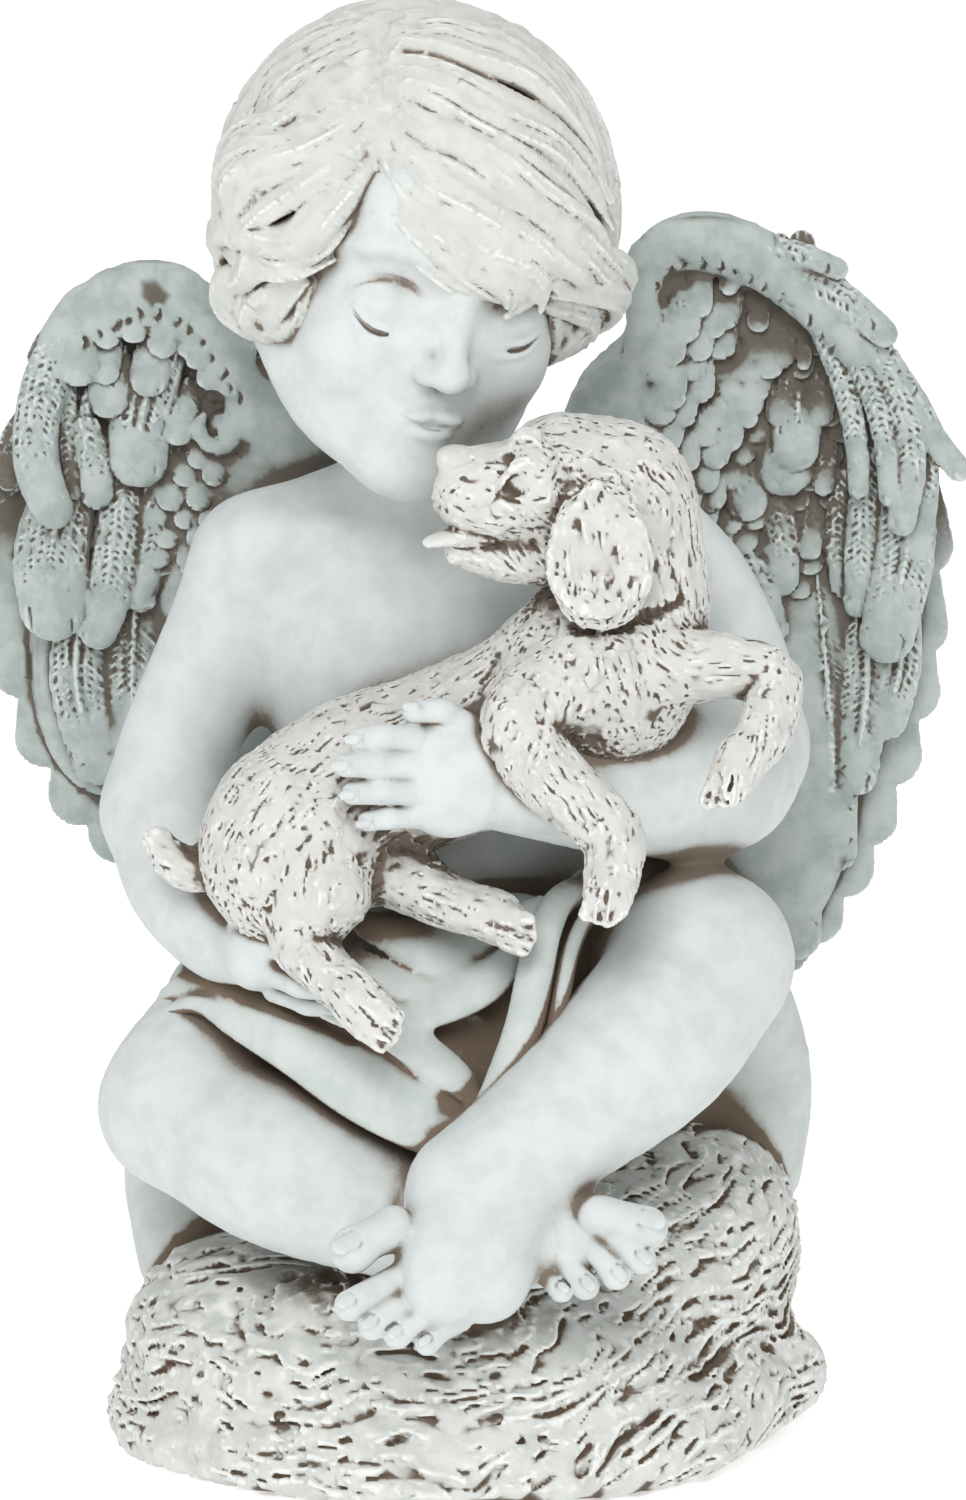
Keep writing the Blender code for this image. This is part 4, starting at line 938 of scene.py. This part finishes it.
def bark(points):
    """Layered, cracked and pitted rock: how far the surface stands out at each point."""
    coarse, fine, pits = Noise(3), Noise(11), Noise(23)
    x, y, z = points.T
    warp = coarse(points / 19.0) * 9 + coarse(points / 7.0 + 5) * 2.6
    climb = np.where(x > 0, 0.42 * x, 0.05 * x)
    layer = z - climb + warp
    ridge = 1 - np.abs(2 * fine(np.column_stack([x / 16, y / 16, layer / 2.3])) - 1)
    small = 1 - np.abs(2 * fine(np.column_stack([x / 7.5, y / 7.5, layer / 1.2]) + 9) - 1)
    flake = pits(np.column_stack([x / 4.4, y / 4.4, layer / 1.3]))
    pit = smoothstep(0.40, 0.28, flake)
    big = coarse(points / 22.0 + 7) - 0.5
    wear = smoothstep(0.0, 4.0, z)
    return wear * (2.4 * big + 1.5 * (ridge - 0.5) + 1.0 * (small - 0.5) - 0.9 * pit)


def fur(points):
    """Fine tufts that follow the coat: how far the surface stands out at each point."""
    fine, sway = Noise(31), Noise(37)
    anchors = np.array([lane[0] for lane in COAT], float)
    shift = (sway(points / 5.0)[:, None] - 0.5) * 7
    nearest = np.argmin(((points[:, None, :] + shift[:, None, :] * (1, 0, 1) - anchors) ** 2).sum(2), axis=1)
    rise = np.zeros(len(points))
    for index, (centre, flow) in enumerate(COAT):
        here = nearest == index
        if not here.any():
            continue
        flow = np.array(flow, float) / np.linalg.norm(flow)
        away = points[here] - centre
        away = away + 1.6 * (sway(away / 6.0 + 3)[:, None] - 0.5)
        squeezed = away - np.outer(away @ flow, flow) * 0.84
        strokes = 1 - np.abs(2 * fine(squeezed / 0.82 + 5 * index) - 1)
        tufts = fine(squeezed / 2.4 + 9)
        rise[here] = 0.72 * (strokes - 0.62) + 0.7 * (tufts - 0.5)
    for centre, radius in SMOOTH_SPOTS:
        rise *= smoothstep(radius * 0.7, radius, np.linalg.norm(points - centre, axis=1))
    return rise


def plume(clay, line, width, depth, thick=0.34, shaft=0.0, barbs=1.0, out=(0, -1, 0.1), blend=0.25):
    """A round-ended feather on a wing: rows of x, z and how far forward, its half width, shaft and barbs."""
    points = [(row[0], depth - (row[2] if len(row) > 2 else 0), row[1]) for row in line]
    length = sum(float(np.hypot(b[0] - a[0], b[1] - a[1])) for a, b in zip(line, line[1:]))
    phase = line[0][0] * 1.7 + line[0][1] * 0.9

    def surface(along, across, rise, radius):
        share = np.abs(across) / radius
        slant = along - np.abs(across) * 0.9 + np.where(across > 0, 1.4, 0)
        wave = np.cos(slant * (TURN / 3.4) + phase + 0.9 * np.sin(slant * 0.7 + phase))
        cut = np.maximum(wave, 0) ** 7 * (0.3 + 0.7 * np.sin(slant * 1.3 + 2 * phase) ** 2)
        face = smoothstep(-0.05, 0.1, rise / radius)
        rim = smoothstep(0.3, 0.55, share) * smoothstep(1.02, 0.84, share) * face
        comb = np.cos(slant * (TURN / 1.75) + 1.2 * np.sin(slant * 0.9 + phase))
        tip = smoothstep(length * 0.98, length * 0.6, along) * smoothstep(0.98, 0.8, share)
        off = barbs * (0.95 * cut * rim + 0.36 * (comb + 0.3) * tip * face)
        if shaft:
            keep = smoothstep(length * shaft, length * shaft * 0.85, along)
            off = off - keep * 0.7 * np.exp(-(across / 0.6) ** 2)
            off = off + keep * 0.5 * np.exp(-((np.abs(across) - 1.3) / 0.5) ** 2)
        return off

    radii = [width * 0.8] + [width] * (len(points) - 2) + [width * 0.92]
    clay.limb(points, radii, blend=blend, flat=thick, facing=out, carve=surface, steps=4)


def wing_ground(points, normals):
    """How far behind the feathers' faces the wing's ground lies: 0 in front to 1 at the back. It darkens the
    recessed ground with patina and painted shade.
    """
    facing = smoothstep(0.1, -0.3, normals[:, 1])
    inner = 0.25 + 0.75 * smoothstep(168, 196, points[:, 2])
    spread = smoothstep(38, 46, np.abs(points[:, 0]))
    return facing * inner * spread * smoothstep(28.5, 33.0, points[:, 1])


def scallop(clay, x, tip, width, depth, length=0.0, lean=0.0, thick=0.4, shaft=0.0):
    """A covert feather rooted in the wing, whose round tip, lowest at x and tip, stands off it."""
    low = tip + width * 0.94
    rise = width * 1.15 + length
    line = [(x + lean * rise, low + rise, -1.8), (x + lean * rise * 0.45, low + rise * 0.5, 0.2),
            (x, low, 1.8)]
    plume(clay, line, width, depth, thick, shaft, 0.9)


def back_feathers(clay, side, high, low, count, width, depth):
    """Long feathers on the wing's back, from a line of roots to a line of tips."""
    high, low = smooth_line(high, 12), smooth_line(low, 12)
    for index in range(count):
        share = index / max(count - 1, 1)
        root = high[int(round(share * (len(high) - 1)))]
        tip = low[int(round(share * (len(low) - 1)))]
        middle = between(root, tip, 0.5)
        line = [(side * root[0], root[1], 0), (side * middle[0], middle[1], -1.5),
                (side * tip[0], tip[1], -0.5)]
        plume(clay, line, width, depth, 0.26, 0.85, 1.0, (0, 1, 0.1))


def small_coverts(clay, centre, radii, size):
    """Rows of small overlapping feathers that cover the wing's ground between the large ones."""
    rng = np.random.default_rng(7)
    for row in range(int(2 * radii[1] / (size * 1.3))):
        z = centre[1] - radii[1] + row * size * 1.3
        for column in range(int(2 * radii[0] / (size * 1.7))):
            x = centre[0] - radii[0] + (column + 0.5 * (row % 2)) * size * 1.7 + rng.uniform(-0.8, 0.8)
            front = clay.front(x, z + size)
            if front is None or math.hypot((x - centre[0]) / radii[0], (z - centre[1]) / radii[1]) > 1:
                continue
            scallop(clay, x, z + rng.uniform(-0.8, 0.8), size * rng.uniform(0.8, 1.1), front + 1.2, 3.5,
                    rng.uniform(-0.1, 0.25), 0.34)


def nicks(clay, line, reach, count):
    """Short slanting incisions along a line on the wing's front, where small feathers end."""
    line = smooth_line(line, 8)
    rng = np.random.default_rng(count)
    for index in range(count):
        x, z = line[int((index + 0.5) / count * (len(line) - 1))]
        turn = rng.uniform(0.9, 1.9)
        length = reach * rng.uniform(0.6, 1.2)
        places = []
        for share in (0, 0.5, 1):
            side = x + share * length * math.cos(turn) + 0.5 * math.sin(3.1 * share)
            rise = z + share * length * math.sin(turn)
            front = clay.front(side, rise)
            if front is not None:
                places.append((side, front + 0.1, rise))
        if len(places) == 3:
            clay.limb(places, [0.35, 0.5, 0.25], blend=0.3, cut=True)


class Surroundings:
    """How much clay stands round a point, from a coarse grid of every piece; the stones paint patina and
    shade where it is high.
    """

    STEP = 1.5

    def __init__(self, clays):
        self.low = np.array((-125.0, -120.0, -12.0))
        size = (np.array((125.0, 80.0, 320.0)) - self.low) / self.STEP
        full = np.zeros(size.astype(int), np.float32)
        for clay in clays:
            near = [self.low[k] + self.STEP * np.arange(full.shape[k]) for k in range(3)]
            index = [np.round((near[k] - clay.low[k]) / clay.step).astype(int) for k in range(3)]
            keep = [(index[k] >= 0) & (index[k] < clay.field.shape[k]) for k in range(3)]
            part = clay.field[np.ix_(*[index[k][keep[k]] for k in range(3)])]
            here = np.ix_(*[np.nonzero(keep[k])[0] for k in range(3)])
            full[here] = np.maximum(full[here], np.clip(0.5 - part / self.STEP, 0, 1))
        self.near = blurred(full, 1, 2)
        self.wide = blurred(full, 3, 2)
        self.deep = blurred(full, 5, 3)

    def sample(self, grid, points):
        """A grid's values at points in millimetres."""
        return trilinear(grid, (points - self.low) / self.STEP)


def trilinear(grid, place):
    """Values of a grid between its points, at places counted in grid steps."""
    base = np.clip(np.floor(place).astype(int), 0, np.array(grid.shape) - 2)
    t = np.clip(place - base, 0, 1).astype(np.float32)
    total = 0
    for dx in (0, 1):
        for dy in (0, 1):
            for dz in (0, 1):
                weight = ((t[:, 0] if dx else 1 - t[:, 0]) * (t[:, 1] if dy else 1 - t[:, 1])
                          * (t[:, 2] if dz else 1 - t[:, 2]))
                total = total + weight * grid[base[:, 0] + dx, base[:, 1] + dy, base[:, 2] + dz]
    return total


def blurred(grid, radius, rounds):
    """A box blur over a radius of grid steps, repeated."""
    for _ in range(rounds):
        for axis in range(3):
            total = np.zeros_like(grid)
            for shift in range(-radius, radius + 1):
                total += np.roll(grid, shift, axis)
            grid = total / (2 * radius + 1)
    return grid


def sculpt(clay, surroundings, material):
    """Makes a piece's mesh, with how hollow and how sheltered each of its points is."""
    points, triangles, quads = clay.skin(THINNING[clay.name])
    normals = clay.slope(points)
    mesh = bpy.data.meshes.new(clay.name)
    build_faces(mesh, points * MM, triangles, quads)
    layers = {"crease": clay.hollow(points, normals, 0.8), "valley": clay.hollow(points, normals, 2.4),
              "basin": clay.hollow(points, normals, 5.0),
              # How much clay stands round each point: the stone darkens these places with patina and painted
              # shade
              "shelter": surroundings.sample(surroundings.near, points + normals * 1.6),
              "enclosure": surroundings.sample(surroundings.wide, points + normals * 4.0),
              "pocket": surroundings.sample(surroundings.deep, points + normals * 8.0),
              "ground": wing_ground(points, normals) if "wing" in clay.name else np.zeros(len(points))}
    for name, values in layers.items():
        layer = mesh.attributes.new(name, "FLOAT", "POINT")
        layer.data.foreach_set("value", values.astype(np.float32))
    mesh.materials.append(material)
    mesh.shade_smooth()
    mesh.normals_split_custom_set_from_vertices(normals.astype(np.float32))
    piece = bpy.data.objects.new(clay.name, mesh)
    bpy.context.scene.collection.objects.link(piece)
    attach(piece, "root")
    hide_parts(NODE)


def build_faces(mesh, points, triangles, quads):
    """Fills a mesh from points, triangles and quads."""
    mesh.vertices.add(len(points))
    mesh.vertices.foreach_set("co", points.astype(np.float32).ravel())
    loops = np.concatenate([triangles.ravel(), quads.ravel()])
    mesh.loops.add(len(loops))
    mesh.loops.foreach_set("vertex_index", loops.astype(np.int32))
    starts = np.concatenate([np.arange(len(triangles)) * 3, len(triangles) * 3 + np.arange(len(quads)) * 4])
    mesh.polygons.add(len(starts))
    mesh.polygons.foreach_set("loop_start", starts.astype(np.int32))
    mesh.update(calc_edges=True)
    mesh.validate()


class Graph:
    """Short names for adding and linking shader nodes."""

    def __init__(self, name):
        self.material = bpy.data.materials.new(name)
        self.material.use_nodes = True
        self.tree = self.material.node_tree
        self.surface = self.tree.nodes["Principled BSDF"]

    def add(self, kind, inputs=None, **settings):
        """A new node with its settings and inputs."""
        node = self.tree.nodes.new(kind)
        for key, value in settings.items():
            setattr(node, key, value)
        for key, value in (inputs or {}).items():
            self.feed(node.inputs[key], value)
        return node

    def feed(self, socket, value):
        """Links an output to a socket, or sets a plain value on it."""
        if hasattr(value, "is_output"):
            self.tree.links.new(value, socket)
        else:
            socket.default_value = value

    def attribute(self, name):
        """A value that the mesh holds at each point."""
        return self.add("ShaderNodeAttribute", attribute_name=name).outputs["Fac"]

    def ramp(self, value, low, high):
        """0 below low, 1 above high, smooth between."""
        node = self.add("ShaderNodeMapRange", {"Value": value, "From Min": low, "From Max": high},
                        interpolation_type="SMOOTHSTEP")
        return node.outputs["Result"]

    def math(self, operation, first, second):
        """One step of arithmetic."""
        return self.add("ShaderNodeMath", {0: first, 1: second}, operation=operation).outputs[0]

    def mix(self, share, first, second):
        """The second colour's share laid over the first."""
        node = self.add("ShaderNodeMix", data_type="RGBA")
        self.feed(node.inputs["Factor"], share)
        self.feed(node.inputs["A"], first)
        self.feed(node.inputs["B"], second)
        sockets = [socket for socket in node.outputs if socket.type == "RGBA"]
        return sockets[0]

    def noise(self, scale, detail=4.0, roughness=0.6):
        """Mottling fixed to the piece, with so many marks to the metre."""
        where = self.add("ShaderNodeTexCoord").outputs["Object"]
        node = self.add("ShaderNodeTexNoise", {"Vector": where, "Scale": scale, "Detail": detail,
                                               "Roughness": roughness})
        return node.outputs["Fac"]


def linear(red, green, blue):
    """A shader colour from the 0 to 255 values that a person would name."""
    return tuple((value / 255) ** 2.2 for value in (red, green, blue)) + (1.0,)


def stone(name, body, cool, dirt_and_shade, chalk, fine=1.0, deep=1.0, raised=1.0, soil_and_shade=1.0):
    """Cast stone: a mottled body colour, umber patina with painted shade in the hollows and where parts
    shelter each other, dark lines, and chalk on the edges.
    """
    graph = Graph(name)
    mottle = graph.noise(160.0)
    speck = graph.noise(1100.0, 4.0, 0.7)
    cloud = graph.noise(90.0, 3.0)
    colour = graph.mix(graph.ramp(mottle, 0.36, 0.68), linear(*body), linear(*cool))
    # Umber patina and painted shade: darker in hollows, where other clay shelters a point and on the wings'
    # recessed ground
    patina_and_shade_layers = (("valley", 0.02 / deep, 0.50 / deep, 0.55), ("basin", 0.03 / deep, 0.45 / deep, 0.5),
              ("shelter", 0.22, 0.62, 0.5 * soil_and_shade), ("enclosure", 0.20, 0.55, 0.65 * soil_and_shade),
              ("pocket", 0.22, 0.52, 0.5 * soil_and_shade), ("ground", 0.0, 1.0, 0.8))
    stain_and_shade = 0.0
    for source, low, high, share in patina_and_shade_layers:
        step = graph.math("MULTIPLY", graph.ramp(graph.attribute(source), low, high), share)
        stain_and_shade = graph.math("ADD", stain_and_shade, step)
    worn = graph.math("ADD", graph.math("MULTIPLY", speck, 0.7), graph.math("MULTIPLY", cloud, 0.9))
    stain_and_shade = graph.math("MULTIPLY", stain_and_shade, graph.math("ADD", worn, 0.25))
    stain_and_shade = graph.ramp(stain_and_shade, 0.05, 0.9)
    umber_and_shade = tuple(0.3 * a + 0.7 * b for a, b in zip(body, dirt_and_shade))
    colour = graph.mix(stain_and_shade, colour, linear(*umber_and_shade))
    lines = graph.ramp(graph.attribute("crease"), 0.03 / fine, 0.42 / fine)
    lines = graph.math("MULTIPLY", lines, graph.math("ADD", graph.math("MULTIPLY", worn, 0.45), 0.5))
    colour = graph.mix(graph.ramp(lines, 0.0, 0.95), colour, linear(*dirt_and_shade))
    # Painted shade and patina: the darkest hollows go darker still
    deepest = graph.math("MULTIPLY", graph.ramp(stain_and_shade, 0.55, 1.0), 0.6)
    colour = graph.mix(deepest, colour, linear(*dirt_and_shade))
    edge = graph.math("MULTIPLY", graph.attribute("crease"), -1.0)
    bright = graph.math("MULTIPLY", graph.ramp(edge, 0.04 / raised, 0.30 / raised), 0.75)
    colour = graph.mix(bright, colour, linear(*chalk))
    graph.feed(graph.surface.inputs["Base Color"], colour)
    rough = graph.math("ADD", 0.58, graph.math("MULTIPLY", stain_and_shade, 0.3))
    graph.feed(graph.surface.inputs["Roughness"], rough)
    graph.surface.inputs["Specular IOR Level"].default_value = 0.32
    grain = graph.noise(1400.0, 3.0, 0.65)
    bump = graph.add("ShaderNodeBump", {"Strength": 0.25, "Distance": 0.0003, "Height": grain})
    graph.feed(graph.surface.inputs["Normal"], bump.outputs["Normal"])
    return graph.material


def coats():
    """Each piece's stone: the same cast, rubbed and brushed, with painted shade in its hollows, to suit what
    it shows.
    """
    made = {name: stone(name, *looks) for name, looks in STONES.items()}
    return {piece: made[name] for piece, name in COATED_WITH.items()}


def camera():
    """The photograph's view: a long lens, a little above, with the statue filling the frame."""
    target = Vector(LOOK_AT)
    rise = math.radians(CAMERA_RISE)
    lens = bpy.data.cameras.new("photo_camera")
    lens.sensor_width = SENSOR
    lens.lens = LENS
    lens.shift_x = SHIFT_RIGHT / PHOTO_HEIGHT
    lens.shift_y = SHIFT_UP / PHOTO_HEIGHT
    lens.clip_end = 20
    body = bpy.data.objects.new("photo_camera", lens)
    body.location = target + Vector((0, -math.cos(rise), math.sin(rise))) * CAMERA_DISTANCE
    body.rotation_euler = (target - body.location).to_track_quat("-Z", "Y").to_euler()
    bpy.context.scene.collection.objects.link(body)
    bpy.context.scene.camera = body


def lights():
    """Soft studio light: a broad key above the camera and a weak lamp overhead, under a white sky."""
    target = Vector(LOOK_AT)
    for name, (place, power, size) in LAMPS.items():
        light = bpy.data.lights.new(name, "AREA")
        light.energy = power
        light.size = size
        lamp = bpy.data.objects.new(name, light)
        lamp.location = place
        lamp.rotation_euler = (target - lamp.location).to_track_quat("-Z", "Y").to_euler()
        bpy.context.scene.collection.objects.link(lamp)
    world = bpy.data.worlds.new("studio")
    world.use_nodes = True
    backdrop = world.node_tree.nodes["Background"]
    backdrop.inputs["Color"].default_value = (1.0, 1.0, 1.0, 1.0)
    backdrop.inputs["Strength"].default_value = SKY_STRENGTH
    bpy.context.scene.world = world
    bpy.context.scene.view_settings.view_transform = "Standard"


def floor():
    """A plain white floor that glows a little, like lit paper."""
    mesh = bpy.data.meshes.new("studio_floor")
    side = PAPER_SIDE
    mesh.from_pydata([(-side, -side, 0), (side, -side, 0), (side, side, 0), (-side, side, 0)], [],
                     [(0, 1, 2, 3)])
    graph = Graph("studio_paper")
    graph.surface.inputs["Base Color"].default_value = (0.88, 0.88, 0.88, 1.0)
    graph.surface.inputs["Roughness"].default_value = 0.9
    graph.surface.inputs["Emission Color"].default_value = (1.0, 1.0, 1.0, 1.0)
    graph.surface.inputs["Emission Strength"].default_value = PAPER_GLOW
    mesh.materials.append(graph.material)
    ground = bpy.data.objects.new("studio_floor", mesh)
    ground.location = (0, 0, -PAPER_DROP)
    bpy.context.scene.collection.objects.link(ground)


def shaped(make):
    """One piece's clay, with the fur or the rock's layers pressed into it."""
    clay = make()
    if clay.name == "puppy":
        clay.roughen(fur, 1.3)
    if clay.name == "rock":
        clay.roughen(bark, 6.0)
        clay.level()
    return clay


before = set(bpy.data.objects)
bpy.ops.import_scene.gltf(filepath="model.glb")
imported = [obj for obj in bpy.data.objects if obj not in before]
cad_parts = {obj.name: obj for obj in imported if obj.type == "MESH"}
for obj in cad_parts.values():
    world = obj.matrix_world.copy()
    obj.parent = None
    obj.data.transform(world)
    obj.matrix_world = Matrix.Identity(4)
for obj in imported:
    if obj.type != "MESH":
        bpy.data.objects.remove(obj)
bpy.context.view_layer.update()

with ThreadPool(4) as pool:
    clays = pool.map(shaped, (child, hair, right_wing, puppy, left_wing, drapery, rock), chunksize=1)
surroundings = Surroundings(clays)
stones = coats()
for clay in clays:
    sculpt(clay, surroundings, stones[clay.name])
floor()
lights()
camera()
